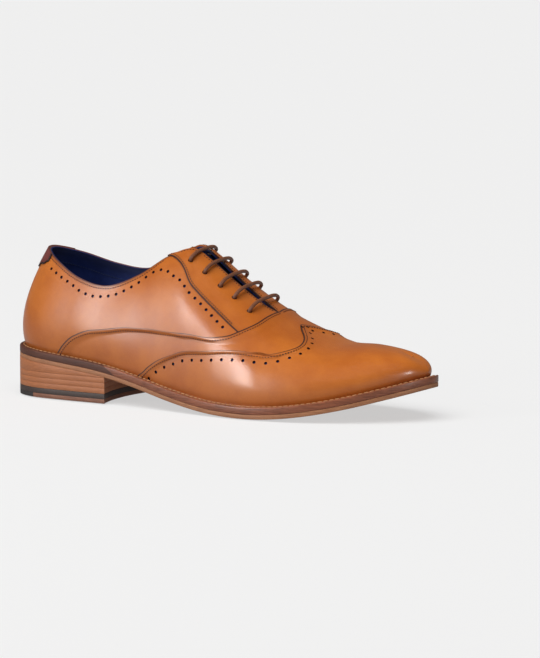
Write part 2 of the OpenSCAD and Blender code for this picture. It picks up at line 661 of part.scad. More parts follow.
// From inside, up through a hole, over the fit and down through the hole opposite
function bar(p, side) = concat(
    climb(p, side),
    [for (t = [0.12, 0.3, 0.5, 0.7, 0.88]) bar_mid(p, side, t)],
    [for (q = [2 : -1 : 0]) climb(p, -side)[q]]);
function climb(p, side) = [at_hole(p, side, -1.9), at_hole(p, side, 0), at_hole(p, side, 2, 0, -0.6)];
function bar_mid(p, side, t) = let (a = at_hole(p, side, 2), b = at_hole(p, -side, 2))
    mix(a, b, t) + [0.45, 0, 1] * lace_arch * (1 - pow(2 * t - 1, 4));
// Run inside from one hole to another on the same side; across moves it clear of the hole between
function run(p, q, side, across) = let (e = p < q ? 1 : -1) concat(
    [at_hole(p, side, lace_depth + 0.6, e * 0.6), at_hole(p, side, lace_depth, e * bend)],
    abs(p - q) > 1 ? [at_hole((p + q) / 2, side, lace_depth - 0.25, 0, across)] : [],
    [at_hole(q, side, lace_depth, -e * bend), at_hole(q, side, lace_depth + 0.6, -e * 0.6)]);
lace_keys = concat(
    [lateral_route[0] + origin],
    [at_hole(1, -1, lace_depth, -bend), at_hole(1, -1, lace_depth + 0.6, -0.6)],
    bar(1, -1), run(1, 3, 1, 3.2), bar(3, 1), run(3, 4, -1, 0),
    bar(4, -1), run(4, 2, 1, -3.2), bar(2, 1), run(2, 0, -1, -3.2), bar(0, -1),
    [at_hole(0, 1, lace_depth + 0.6, -0.6), at_hole(0, 1, lace_depth, -bend)],
    [medial_route[0] + origin]);
module lace() {
    color("#6b4226") translate(-origin)
        tube(lace_keys, lace_d, lateral_route[0] - lateral_route[1], medial_route[1] - medial_route[0]);
}
// The last point of a route is the far end of its aglet
module lace_end(route) {
    n = len(route);
    keys = [for (i = [0 : n - 2]) route[i]];
    tube(smooth_path(keys, 2), lace_d, route[1] - route[0], route[n - 1] - route[n - 2]);
}
module aglet(route) {
    n = len(route);
    d = unit(route[n - 1] - route[n - 2]);
    translate(route[n - 2])
        rotate([0, acos(d[2]), atan2(d[1], d[0])])
            cylinder(d = lace_d + 0.3, h = aglet_l, $fn = 32);
}
module lace_end_lateral() {
    color("#6b4226") lace_end(lateral_route);
}
module lace_end_medial() {
    color("#6b4226") lace_end(medial_route);
}
module aglet_lateral() {
    color("#3b2418") aglet(lateral_route);
}
module aglet_medial() {
    color("#3b2418") aglet(medial_route);
}

wing_cap();
vamp();
quarter_lateral();
quarter_medial();
facing_lateral();
facing_medial();
heel_tab();
back_strip();
tongue();
tongue_lining();
vamp_lining();
quarter_lining_lateral();
quarter_lining_medial();
heel_counter();
toe_puff();
insole_board();
sock_liner();
cork_filler();
shank();
welt();
heel_rand();
outsole();
heel_wedge();
heel_lift_1();
heel_lift_2();
heel_lift_3();
heel_rubber();
top_piece_leather();
top_piece_rubber();
heel_nails();
top_piece_pins();
lace();
lace_end_lateral();
lace_end_medial();
aglet_lateral();
aglet_medial();
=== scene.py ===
import math
import bmesh
import bpy
import numpy as np
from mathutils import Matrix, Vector


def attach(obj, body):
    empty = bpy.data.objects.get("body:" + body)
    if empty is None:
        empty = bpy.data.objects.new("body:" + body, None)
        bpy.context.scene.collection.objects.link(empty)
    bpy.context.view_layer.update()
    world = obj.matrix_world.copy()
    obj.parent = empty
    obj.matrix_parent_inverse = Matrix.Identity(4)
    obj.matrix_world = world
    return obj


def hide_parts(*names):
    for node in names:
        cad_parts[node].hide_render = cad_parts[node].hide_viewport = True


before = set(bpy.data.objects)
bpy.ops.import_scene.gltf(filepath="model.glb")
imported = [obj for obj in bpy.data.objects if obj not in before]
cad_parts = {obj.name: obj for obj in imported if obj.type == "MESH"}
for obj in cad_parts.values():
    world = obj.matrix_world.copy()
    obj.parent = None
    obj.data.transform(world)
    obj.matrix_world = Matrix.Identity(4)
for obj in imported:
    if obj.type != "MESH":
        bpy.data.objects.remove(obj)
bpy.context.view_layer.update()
print("frame loaded")

mm = 0.001

studio = {
    "target": (0.0363, 0.0, 0.0528),
    "azimuth": 29.0,
    "elevation": 6.99,
    "distance": 2.454,
    "lens": 204.3,
    "paper": (0.30, 0.30, 0.30),
    "paperGlow": 0.56,
    "world": 0.16,
    "sun": 2.95,
    "sunPlace": (0.0, -1.0, 2.2),
    "sunAngle": 60,
    "lamps": {
        "keySoftbox": {
            "place": (-0.67, -1.13, 0.42), "size": (0.30, 0.75), "power": 3.0,
            "target": (0.0, 0.0, 0.05), "lights": True},
        # two panels placed only for their reflections
        "sidePanel": {
            "place": (-0.67, -1.15, 0.40), "size": (0.24, 0.75), "power": 13,
            "target": (0.0, 0.0, 0.05), "lights": False},
        "toePanel": {
            "place": (1.05, -0.36, 0.20), "size": (0.10, 0.20), "power": 3.5,
            "target": (0.14, 0.0, 0.03), "lights": False},
    },
}


def aim(thing, target):
    away = Vector(thing.location) - Vector(target)
    thing.rotation_euler = away.to_track_quat("Z", "Y").to_euler()


def addCamera():
    az = math.radians(studio["azimuth"])
    el = math.radians(studio["elevation"])
    back = Vector((math.sin(az) * math.cos(el), -math.cos(az) * math.cos(el), math.sin(el)))
    bpy.ops.object.camera_add(location=Vector(studio["target"]) + back * studio["distance"])
    camera = bpy.context.object
    camera.data.lens = studio["lens"]
    camera.data.sensor_width = 36
    camera.data.clip_start = 0.05
    aim(camera, studio["target"])
    bpy.context.scene.camera = camera


def addLamp(name, place, size, power, target, lights):
    bpy.ops.object.light_add(type="AREA", location=place)
    lamp = bpy.context.object
    lamp.name = name
    lamp.data.energy = power
    lamp.data.shape = "RECTANGLE"
    lamp.data.size = size[0]
    lamp.data.size_y = size[1]
    lamp.visible_diffuse = lights
    aim(lamp, target)


def deselect():
    bpy.ops.object.select_all(action="DESELECT")


def addStudio():
    deselect()
    bpy.ops.mesh.primitive_plane_add(size=120, location=(0, 0, -0.0005))
    floor = bpy.context.object
    floor.name = "floor"
    paper = bpy.data.materials.new("paper")
    paper.use_nodes = True
    shader = paper.node_tree.nodes["Principled BSDF"]
    shader.inputs["Base Color"].default_value = (*studio["paper"], 1)
    shader.inputs["Roughness"].default_value = 0.9
    shader.inputs["Specular IOR Level"].default_value = 0.0
    shader.inputs["Emission Color"].default_value = (1, 1, 1, 1)
    # the paper's glow is for the picture; little of it falls on the shoe
    sight = paper.node_tree.nodes.new("ShaderNodeLightPath")
    glow = paper.node_tree.nodes.new("ShaderNodeMapRange")
    glow.inputs["To Min"].default_value = 0.3 * studio["paperGlow"]
    glow.inputs["To Max"].default_value = studio["paperGlow"]
    paper.node_tree.links.new(sight.outputs["Is Camera Ray"], glow.inputs["Value"])
    paper.node_tree.links.new(glow.outputs["Result"], shader.inputs["Emission Strength"])
    floor.data.materials.append(paper)
    world = bpy.data.worlds.new("studio")
    world.use_nodes = True
    world.node_tree.nodes["Background"].inputs["Color"].default_value = (1.0, 0.97, 0.93, 1)
    world.node_tree.nodes["Background"].inputs["Strength"].default_value = studio["world"]
    bpy.context.scene.world = world
    for name, lamp in studio["lamps"].items():
        addLamp(name, **lamp)
    bpy.ops.object.light_add(type="SUN", location=studio["sunPlace"])
    sun = bpy.context.object
    sun.data.energy = studio["sun"]
    sun.data.angle = math.radians(studio["sunAngle"])
    sun.visible_glossy = False
    aim(sun, (0, 0, 0))
    bpy.context.scene.view_settings.view_transform = "Standard"


addCamera()
addStudio()
print("studio ready")

# Same stations as the solids: 0 to 15 from the back of the heel to the tip of the toe, minus on
# the lateral side and plus on the medial side. All in millimetres, with the heel's back near x = 0.
last = {
    "origin": (154.25, -2.45, 0),
    "welt": 4.8,
    "outsole": 3.0,
    "seat": 0.15,
    "heelHeight": 26.0,
    "toeSpring": 21.6,
    "weltBack": 4.0,
    "weltFront": 5.5,
    "throat": 10.3,
}
soleThick = last["welt"] + last["outsole"]
heelRise = last["heelHeight"]
toeRise = last["toeSpring"]
toe = 15  # the last station, at the tip of the toe
underLine = np.array([
    [0, heelRise], [40, 0.87 * heelRise], [79, 0.71 * heelRise], [108, 0.49 * heelRise],
    [136, 0.25 * heelRise], [162, 0.085 * heelRise], [186, 0.01 * heelRise], [210, 0.02 * toeRise],
    [235, 0.14 * toeRise], [262, 0.38 * toeRise], [288, 0.7 * toeRise], [310, toeRise]])
featherLateral = np.array([
    [4, 0], [9.5, -17], [26, -27.5], [52, -31], [80, -33], [104, -35], [122, -37.5], [138, -40],
    [152, -42.5], [176, -46.5], [205, -48], [233, -44.5], [259, -35.5], [281, -23], [297, -9], [303, 4]])
featherMedial = np.array([
    [4, 0], [9.5, 17], [26, 27], [52, 29], [80, 26.8], [104, 25], [122, 25], [138, 27], [152, 30],
    [176, 37], [205, 42.5], [233, 42.5], [259, 37], [282, 28.5], [298, 16], [303, 4]])
rimLateral = np.array([
    [21, 0, 99.5], [24.5, -10, 98], [37, -18.5, 91.5], [57, -24.5, 82], [80, -26.5, 78], [102, -22.5, 86],
    [120, -14.5, 98.5], [135, -7.5, 104], [147, -5, 97.5], [166, -3.5, 83], [189, -2, 67.5], [213, 0, 55.5],
    [238, 2, 46.6], [262, 4, 46], [280, 5, 44], [291, 6, 40.2]])
rimMedial = np.array([
    [21, 0, 99.5], [24.5, 10, 98], [37, 18.5, 94], [57, 25, 87.5], [80, 26, 85], [102, 21, 92],
    [120, 13.5, 100.5], [135, 6, 105], [147, 4, 98.5], [166, 2.5, 84], [189, 1, 68], [213, 0, 55.5],
    [238, 2, 46.6], [262, 4, 46], [280, 5, 44], [291, 6, 40.2]])
fullLateral = np.array([
    [8, 22, 9, 15], [7, 22, 8, 15], [6, 22, 7, 15], [5, 21, 6, 16], [4, 20, 6, 17], [4, 24, 9, 14],
    [4, 28, 14, 9], [4, 32, 19, 4], [4, 32, 23, 2.5], [5, 28, 28, 2.5], [7, 22, 33, 3.5], [7, 19, 33, 4],
    [7, 17, 29, 2], [6, 15, 22, 0.8], [5, 11, 15, 0.95], [4, 6, 10, 3.7]])
fullMedial = np.array([
    [8, 22, 9, 15], [7, 22, 8, 15], [6, 22, 7, 15], [5, 21, 6, 16], [4, 20, 6, 17], [4, 26, 9, 12],
    [4, 32, 14, 6], [4, 36, 19, 0], [4, 36, 24, -1.5], [5, 30, 28, -2.5], [7, 24, 33, -3.5],
    [7, 20, 33, -4], [7, 17, 29, -2], [6, 15, 22, -0.8], [5, 11, 15, 0.95], [4, 6, 10, 3.7]])
featherLoop = np.vstack([featherLateral, featherMedial[14:0:-1]])


def cubic(a, b, c, d, t):
    return 0.5 * (2 * b + (c - a) * t + (2 * a - 5 * b + 4 * c - d) * t**2 + (3 * b - a - 3 * c + d) * t**3)


def loopAt(points, t):
    i = np.floor(t).astype(int)
    n = len(points)
    f = (t - i)[:, None]
    return cubic(points[(i - 1) % n], points[i % n], points[(i + 1) % n], points[(i + 2) % n], f)


def curveAt(points, t, before=None, after=None):
    before = 2 * points[0] - points[1] if before is None else before
    after = 2 * points[-1] - points[-2] if after is None else after
    full = np.vstack([before, points, after])
    i = np.clip(np.floor(t).astype(int), 0, len(points) - 2)
    f = (t - i)[:, None]
    return cubic(full[i], full[i + 1], full[i + 2], full[i + 3], f)


def hermite(a, b, slopeA, slopeB, w, t):
    # from a to b over a width w, with a slope at each end
    return (a * (1 + 2 * t) * (1 - t)**2 + b * t * t * (3 - 2 * t)
            + w * slopeA * t * (1 - t)**2 - w * slopeB * t * t * (1 - t))


def smoothStep(a, b, x):
    t = np.clip((x - a) / (b - a), 0, 1)
    return t * t * (3 - 2 * t)


def unit(v):
    return v / np.maximum(np.linalg.norm(v, axis=-1, keepdims=True), 1e-12)


def mix(a, b, t):
    t = np.asarray(t)
    if np.ndim(a) > np.ndim(t) or np.ndim(b) > np.ndim(t):
        t = t[..., None]
    return a + (b - a) * t


slopes = np.array([
    (underLine[min(i + 1, len(underLine) - 1), 1] - underLine[max(i - 1, 0), 1])
    / (underLine[min(i + 1, len(underLine) - 1), 0] - underLine[max(i - 1, 0), 0])
    for i in range(len(underLine))])


def underZ(x):
    i = np.clip(np.searchsorted(underLine[:, 0], x, side="right") - 1, 0, len(underLine) - 2)
    w = underLine[i + 1, 0] - underLine[i, 0]
    t = (x - underLine[i, 0]) / w
    return hermite(underLine[i, 1], underLine[i + 1, 1], slopes[i], slopes[i + 1], w, t)


def foot(s):
    return loopAt(featherLoop, np.mod(-s, 2 * toe))


def footOut(s):
    d = foot(s - 0.02) - foot(s + 0.02)
    return unit(np.stack([d[:, 1], -d[:, 0]], 1))


def sided(s, lateral, medial):
    return np.where((s < 0)[:, None], lateral, medial)


def rimSide(s, lateral):
    r = rimLateral if lateral else rimMedial
    return curveAt(r, np.abs(s), r[1] * (1, -1, 1))


def rim(s):
    left = rimSide(s, True)
    right = rimSide(s, False)
    t = smoothStep(10, last["throat"], np.abs(s))
    return mix(sided(s, left, right), (left + right) / 2, t)


def fullness(s):
    u = np.abs(s)
    return sided(s, curveAt(fullLateral, u, fullLateral[1], fullLateral[14]),
                 curveAt(fullMedial, u, fullMedial[1], fullMedial[14]))


def rimOut(s):
    u = np.abs(s)
    side = np.stack([np.zeros(len(s)), np.where(s < 0, -1.0, 1.0)], 1)
    t = np.where(u < 10, smoothStep(5, 7, u), 1 - smoothStep(13, 15, u))
    return unit(mix(footOut(s), side, t))


def weltTop(x):
    return underZ(x) + soleThick


def wall(s, h):
    p = foot(s)
    f = fullness(s)
    r = rim(s)
    n = footOut(s)
    m = rimOut(s)
    a = np.column_stack([p, weltTop(p[:, 0]) + last["seat"]])
    b = a + np.column_stack([n * f[:, :1], f[:, 1]])
    c = r + np.column_stack([m * f[:, 2:3], -f[:, 3]])
    h = h[:, None]
    g = 1 - h
    return a * g**3 + b * 3 * g * g * h + c * 3 * g * h * h + r * h**3


def skin(s, h):
    s = np.where(s > toe, s - 2 * toe, np.where(s < -toe, s + 2 * toe, s))
    over = (h > 1) & (np.abs(s) > last["throat"])
    s = np.where(over, -s, s)
    h = np.where(over, 2 - h, h)
    up = wall(s, np.maximum(h, 0))
    p = foot(s)
    inner = np.column_stack([mix(p[:, 0], 154, 0.07), 0.76 * p[:, 1]])
    q = mix(p, inner, np.maximum(-h, 0))
    low = np.column_stack([q, weltTop(q[:, 0]) + last["seat"]])
    return np.where((h < 0)[:, None], low, up)


def skinOut(s, h):
    pole = (np.abs(s) > 14.9) & (h > 0.97) & (h < 1.03)
    k = np.where(pole, 0.97, h)
    a = skin(s + 0.02, k) - skin(s - 0.02, k)
    below = np.where(k < 0.01, -0.1, k - 0.01)
    b = skin(s, k + 0.01) - skin(s, below)
    n = unit(np.cross(b, a))
    return np.where((h < 0)[:, None], np.array([0, 0, -1.0]), n)


def place(p):
    return (p - np.array(last["origin"])) * mm


vampSeam = np.array([
    [2.67, 0], [2.93, 0.145], [3.26, 0.278], [3.76, 0.4], [4.58, 0.437], [5.69, 0.377], [6.99, 0.336],
    [8.41, 0.384], [9.17, 0.466], [9.6, 0.566], [10.02, 0.72], [10.2, 0.86], [10.3, 1]])
wingSeam = np.array([
    [5.26, 0], [5.36, 0.022], [5.52, 0.05], [5.84, 0.11], [6.35, 0.17], [7.22, 0.222], [8.37, 0.292],
    [9.18, 0.373], [9.83, 0.447], [10.54, 0.5], [11.2, 0.66], [11.3, 0.83], [10.95, 1]])
facingSeam = np.array([[6, 1], [6.75, 0.8], [7.48, 0.67], [8.1, 0.63], [8.85, 0.605], [9.6, 0.566]])
facingFoot = 9
facingCorner = 7.6
holes = np.array([[7.3, 0.82], [8.15, 0.81], [8.76, 0.815], [9.25, 0.82], [9.75, 0.81]])


def onVampSeam(t):
    return curveAt(vampSeam, 12 * t)


def onWingSeam(t):
    return curveAt(wingSeam, 12 * t)


def onFacingSeam(t):
    return curveAt(facingSeam, 5 * t)


def overRidge(b, low):
    # b runs up the lateral side, over the ridge and down the medial side
    side = np.where(b < 0.5, -1.0, 1.0)
    t = 1 - np.abs(2 * b - 1)
    return side, np.maximum((t - low) / (1 - low), 0), np.minimum(t / low - 1, 0)


def ruledOver(start, end, low=0.02, under=0.0):
    # under: share of the length that is hidden under the next panel
    def pattern(a, b):
        side, t, turn = overRidge(b, low)
        past = np.maximum(a - (1 - under), 0)
        a = np.minimum(a / (1 - under), 1)
        p = mix(start(t), end(t), a)
        q = unit(end(t) - start(t)) * (past / max(under, 1e-9) * 0.12)[:, None]
        h = np.where(turn < 0, 0.6 * turn, p[:, 1] + q[:, 1])
        return side * (p[:, 0] + q[:, 0]), h
    return pattern


def toeLine(t):
    return np.column_stack([np.full(len(t), float(toe)), t])


def quarterFoot(a):
    # the feather line for the first 0.3, then the vamp seam
    front = onVampSeam(np.clip((a - 0.3) / 0.7, 0, 1) * facingFoot / 12)
    back = np.column_stack([a / 0.3 * vampSeam[0, 0], np.zeros(len(a))])
    return np.where((a < 0.3)[:, None], back, front)


def coons(c0, c1, d0, d1, a, b):
    zero = np.zeros(len(a))
    one = np.ones(len(a))
    return (mix(c0(a), c1(a), b) + mix(d0(b), d1(b), a)
            - mix(mix(c0(zero), c0(one), a), mix(c1(zero), c1(one), a), b))


def quarterPattern(side, low=0.04, under=0.03):
    # low: share of the height that is tucked into the welt or hidden under the vamp
    # under: share of the length that is hidden under the facing
    def pattern(a, b):
        past = np.maximum(a - (1 - under), 0) / under
        a = np.minimum(a / (1 - under), 1)
        hidden = np.minimum(b / low - 1, 0)
        b = np.maximum((b - low) / (1 - low), 0)
        p = coons(quarterFoot, lambda t: np.column_stack([6 * t, np.ones(len(t))]),
                  lambda t: np.column_stack([np.zeros(len(t)), t]), lambda t: onFacingSeam(1 - t), a, b)
        front = smoothStep(0.27, 0.32, a)
        h = p[:, 1] + hidden * mix(0.6, 0.035, front)
        return side * (p[:, 0] + 0.22 * past - 0.08 * front * hidden), h
    return pattern


def facingPattern(side, under=0.05):
    def pattern(a, b):
        past = np.maximum(a - (1 - under), 0) / under
        a = np.minimum(a / (1 - under), 1)
        p = coons(onFacingSeam,
                  lambda t: np.column_stack([mix(facingCorner, last["throat"], t), np.ones(len(t))]),
                  lambda t: np.column_stack([mix(facingSeam[0, 0], facingCorner, t), np.ones(len(t))]),
                  lambda t: curveAt(vampSeam, facingFoot + 3 * t), a, b)
        return side * (p[:, 0] + 0.15 * past), p[:, 1]
    return pattern


def finishMesh(name, body, nodes, material, angle=35):
    # names the active piece, gives it its material, hangs it on its body and hides the solids it stands for
    piece = bpy.context.object
    piece.name = name
    piece.data.name = name
    piece.data.materials.clear()
    piece.data.materials.append(material)
    bpy.ops.object.shade_smooth_by_angle(angle=math.radians(angle))
    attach(piece, body)
    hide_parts(*nodes)


def applyModifier(piece, kind, **settings):
    bpy.context.view_layer.objects.active = piece
    modifier = piece.modifiers.new(kind.lower(), kind)
    for key, value in settings.items():
        setattr(modifier, key, value)
    bpy.ops.object.modifier_apply(modifier=modifier.name)


def newGrid(cols, rows):
    deselect()
    bpy.ops.mesh.primitive_grid_add(x_subdivisions=cols, y_subdivisions=rows, size=2)
    piece = bpy.context.object
    flat = np.empty(len(piece.data.vertices) * 3)
    piece.data.vertices.foreach_get("co", flat)
    flat = flat.reshape(-1, 3)
    return piece, (flat[:, 0] + 1) / 2, (flat[:, 1] + 1) / 2


def setPoints(piece, points):
    piece.data.vertices.foreach_set("co", points.astype(np.float32).ravel())
    piece.data.update()


def edgeDistances(points, cols, rows):
    # length in mm from each grid point to the four sides of the panel, along the grid
    grid = points.reshape(rows + 1, cols + 1, 3)
    along = np.zeros((rows + 1, cols + 1))
    along[:, 1:] = np.cumsum(np.linalg.norm(np.diff(grid, axis=1), axis=2), axis=1)
    across = np.zeros((rows + 1, cols + 1))
    across[1:] = np.cumsum(np.linalg.norm(np.diff(grid, axis=0), axis=2), axis=0)
    return {"left": along.ravel(), "right": (along[:, -1:] - along).ravel(),
            "low": across.ravel(), "high": (across[-1:] - across).ravel()}


uncut = 100.0  # mm: far from any cut or burnished edge


def storeMap(piece, u, v):
    layer = piece.data.uv_layers.new(name="wear")
    loops = np.empty(len(piece.data.loops), dtype=np.int64)
    piece.data.loops.foreach_get("vertex_index", loops)
    layer.data.foreach_set("uv", np.stack([u, v], 1)[loops].astype(np.float32).ravel())


def storeWearAndShade(piece, seam, sole):
    # the wear map holds, in centimetres, how far a point is from a cut edge and from the sole; the sole
    # distance places the painted shade above the welt
    storeMap(piece, np.minimum(seam, uncut) / 10, np.minimum(sole, uncut) / 10)


def editMesh(piece, operator, **settings):
    deselect()
    piece.select_set(True)
    bpy.context.view_layer.objects.active = piece
    bpy.ops.object.mode_set(mode="EDIT")
    bpy.ops.mesh.select_all(action="SELECT")
    operator(**settings)
    bpy.ops.object.mode_set(mode="OBJECT")


def mergeDoubles(piece, distance=2e-6):
    editMesh(piece, bpy.ops.mesh.remove_doubles, threshold=distance)


def flip(piece):
    editMesh(piece, bpy.ops.mesh.flip_normals)


def closeSolid(piece):
    # a rolled-up grid becomes a closed solid that faces outward
    mergeDoubles(piece)
    editMesh(piece, bpy.ops.mesh.normals_make_consistent, inside=False)


def makePanel(pattern, cols, rows, thick, lift, seamSides, turned, even=True):
    piece, a, b = newGrid(cols, rows)
    s, h = pattern(a, b)
    tuck = np.minimum(h, 0)
    h = np.maximum(h, 0)
    base = skin(s, h)
    base[:, 2] += 2 * tuck
    away = edgeDistances(base, cols, rows)
    out = skinOut(s, h)
    points = base + out * np.asarray(lift(away, a, b, s, h))[:, None]
    setPoints(piece, place(points))
    seam = np.min([away[side] for side in seamSides], axis=0) if seamSides else np.full(len(a), uncut)
    wallHeight = 70  # mm, near enough for the painted shade above the welt
    storeWearAndShade(piece, seam, np.where(h > 1, uncut, h * wallHeight))
    mergeDoubles(piece)
    if turned:
        flip(piece)
    applyModifier(piece, "SOLIDIFY", thickness=thick * mm, offset=-1, use_even_offset=even)
    return piece


def roundRim(piece, width, segments=2, angle=50):
    applyModifier(piece, "BEVEL", width=width * mm, segments=segments, limit_method="ANGLE",
                  angle_limit=math.radians(angle), use_clamp_overlap=True)


def punch(piece, spots, outs, diameter, depth=3.0, sides=14):
    # real holes: round cutters set square to the leather, then one boolean
    cutters = bmesh.new()
    for spot, out in zip(spots, outs):
        turn = Vector(out).to_track_quat("Z", "Y").to_matrix().to_4x4()
        turn.translation = Vector(spot)
        bmesh.ops.create_cone(cutters, cap_ends=True, segments=sides, radius1=diameter / 2 * mm,
                              radius2=diameter / 2 * mm, depth=depth * mm, matrix=turn)
    mesh = bpy.data.meshes.new("cutters")
    cutters.to_mesh(mesh)
    cutters.free()
    tool = bpy.data.objects.new("cutters", mesh)
    bpy.context.scene.collection.objects.link(tool)
    applyModifier(piece, "BOOLEAN", object=tool, operation="DIFFERENCE", solver="EXACT")
    bpy.data.objects.remove(tool)
    bpy.data.meshes.remove(mesh)


def lapLift(side, height, reach):
    # a lapped edge stands on the leather under it and comes down as it leaves it
    def lift(away, a, b, s, h):
        return height * (1 - smoothStep(1.5, reach, away[side]))
    return lift


def evenLift(height):
    def lift(away, a, b, s, h):
        return np.full(len(a), height)
    return lift


def newGroup(name, inputs, outputs):
    group = bpy.data.node_groups.new(name, "ShaderNodeTree")
    for label, kind, value in inputs:
        socket = group.interface.new_socket(label, in_out="INPUT", socket_type=kind)
        if value is not None:
            socket.default_value = value
    for label, kind in outputs:
        group.interface.new_socket(label, in_out="OUTPUT", socket_type=kind)
    return group, group.nodes.new("NodeGroupInput"), group.nodes.new("NodeGroupOutput")


class Tree:
    # short way to add nodes and join them
    def __init__(self, tree):
        self.tree = tree

    def add(self, kind, settings=None, **sockets):
        node = self.tree.nodes.new(kind)
        for key, value in (settings or {}).items():
            setattr(node, key, value)
        for key, value in sockets.items():
            self.put(node.inputs[key.replace("_", " ")], value)
        return node

    def put(self, socket, value):
        if isinstance(value, bpy.types.NodeSocket):
            self.tree.links.new(value, socket)
        else:
            socket.default_value = value

    def math(self, operation, a, b=0.0):
        node = self.tree.nodes.new("ShaderNodeMath")
        node.operation = operation
        self.put(node.inputs[0], a)
        self.put(node.inputs[1], b)
        return node.outputs[0]

    def mixColour(self, share, a, b):
        node = self.tree.nodes.new("ShaderNodeMix")
        node.data_type = "RGBA"
        self.put(node.inputs[0], share)
        self.put(node.inputs[6], a if isinstance(a, bpy.types.NodeSocket) else (*a, 1))
        self.put(node.inputs[7], b if isinstance(b, bpy.types.NodeSocket) else (*b, 1))
        return node.outputs[2]

    def ramp(self, value, low, high, to0=0.0, to1=1.0):
        node = self.tree.nodes.new("ShaderNodeMapRange")
        node.interpolation_type = "SMOOTHSTEP"
        self.put(node.inputs[0], value)
        for i, number in enumerate((low, high, to0, to1)):
            self.put(node.inputs[i + 1], number)
        return node.outputs[0]

    def noise(self, vector, scale, detail=3.0, rough=0.55):
        return self.add("ShaderNodeTexNoise", Vector=vector, Scale=scale, Detail=detail,
                        Roughness=rough).outputs["Fac"]


def makeGrainGroup():
    # fine creases and pores of calf, and the slow drift of its dye
    group, start, end = newGroup(
        "calfGrain",
        [("Vector", "NodeSocketVector", None), ("Pore Size", "NodeSocketFloat", 0.0007),
         ("Crease", "NodeSocketFloat", 0.4)],
        [("Height", "NodeSocketFloat"), ("Tone", "NodeSocketFloat"), ("Fleck", "NodeSocketFloat")])
    t = Tree(group)
    where, size = start.outputs["Vector"], start.outputs["Pore Size"]
    scale = t.math("DIVIDE", 1.0, size)
    warp = t.add("ShaderNodeTexNoise", Vector=where, Scale=420.0, Detail=2.0)
    bent = t.add("ShaderNodeVectorMath", {"operation": "MULTIPLY_ADD"})
    t.put(bent.inputs[0], warp.outputs["Color"])
    bent.inputs[1].default_value = (0.0009, 0.0009, 0.0009)
    t.put(bent.inputs[2], where)
    cells = t.add("ShaderNodeTexVoronoi", {"feature": "DISTANCE_TO_EDGE"}, Vector=bent.outputs[0],
                  Scale=scale)
    creases = t.ramp(cells.outputs["Distance"], 0.0, 0.22)
    fine = t.noise(where, t.math("MULTIPLY", scale, 2.3), 3.0)
    height = t.math("ADD", t.math("MULTIPLY", creases, start.outputs["Crease"]), fine)
    drift = t.noise(where, 26.0, 4.0, 0.6)
    t.put(end.inputs["Height"], height)
    t.put(end.inputs["Tone"], t.ramp(drift, 0.3, 0.7))
    t.put(end.inputs["Fleck"], t.ramp(t.noise(where, 900.0, 2.0), 0.35, 0.75))
    return group


def makeEdgeGroup():
    # from the wear map: the painted cut edge, the burnish beside it and a painted shade above the welt
    group, start, end = newGroup(
        "edgeWearAndShade",
        [("Wear Map", "NodeSocketVector", None), ("Vector", "NodeSocketVector", None),
         ("Cut Width", "NodeSocketFloat", 0.05), ("Burnish Width", "NodeSocketFloat", 0.5)],
        [("Cut", "NodeSocketFloat"), ("Burnish", "NodeSocketFloat"), ("Painted Welt Shade", "NodeSocketFloat")])
    t = Tree(group)
    axes = t.add("ShaderNodeSeparateXYZ", Vector=start.outputs["Wear Map"])
    rag = t.math("MULTIPLY", t.math("SUBTRACT", t.noise(start.outputs["Vector"], 300.0), 0.5), 0.03)
    seam = t.math("ADD", axes.outputs["X"], rag)
    t.put(end.inputs["Cut"], t.ramp(seam, t.math("MULTIPLY", start.outputs["Cut Width"], 0.6),
                                    start.outputs["Cut Width"], 1.0, 0.0))
    t.put(end.inputs["Burnish"], t.ramp(seam, 0.0, start.outputs["Burnish Width"], 1.0, 0.0))
    # painted shade: full at the sole and gone 4.5 mm above it, where the welt shades the upper
    t.put(end.inputs["Painted Welt Shade"], t.ramp(axes.outputs["Y"], 0.0, 0.45, 1.0, 0.0))
    return group


def makeStackGroup():
    # layers of compressed sole leather seen from the edge
    group, start, end = newGroup(
        "edgeGrain",
        [("Vector", "NodeSocketVector", None), ("Layer", "NodeSocketFloat", 0.0009)],
        [("Streak", "NodeSocketFloat"), ("Height", "NodeSocketFloat")])
    t = Tree(group)
    squeezed = t.add("ShaderNodeMapping", Vector=start.outputs["Vector"])
    squeezed.inputs["Scale"].default_value = (0.1, 0.1, 1.0)
    scale = t.math("DIVIDE", 1.0, start.outputs["Layer"])
    streak = t.noise(squeezed.outputs[0], scale, 4.0, 0.7)
    fine = t.noise(start.outputs["Vector"], 2600.0, 3.0)
    t.put(end.inputs["Streak"], t.ramp(streak, 0.32, 0.68))
    t.put(end.inputs["Height"], t.math("ADD", streak, t.math("MULTIPLY", fine, 0.3)))
    return group


calfGrain = makeGrainGroup()
edgeWearAndShade = makeEdgeGroup()
edgeGrain = makeStackGroup()


def newMaterial(name, **values):
    material = bpy.data.materials.new(name)
    material.use_nodes = True
    shader = material.node_tree.nodes["Principled BSDF"]
    for key, value in values.items():
        shader.inputs[key.replace("_", " ")].default_value = value
    t = Tree(material.node_tree)
    where = t.tree.nodes.new("ShaderNodeTexCoord").outputs["Object"]
    return material, shader, t, where


def useGroup(t, group, **values):
    node = t.tree.nodes.new("ShaderNodeGroup")
    node.node_tree = group
    for key, value in values.items():
        t.put(node.inputs[key.replace("_", " ")], value)
    return node


def useBump(t, shader, height, strength, distance):
    bump = t.add("ShaderNodeBump", Height=height, Strength=strength, Distance=distance)
    t.put(shader.inputs["Normal"], bump.outputs["Normal"])


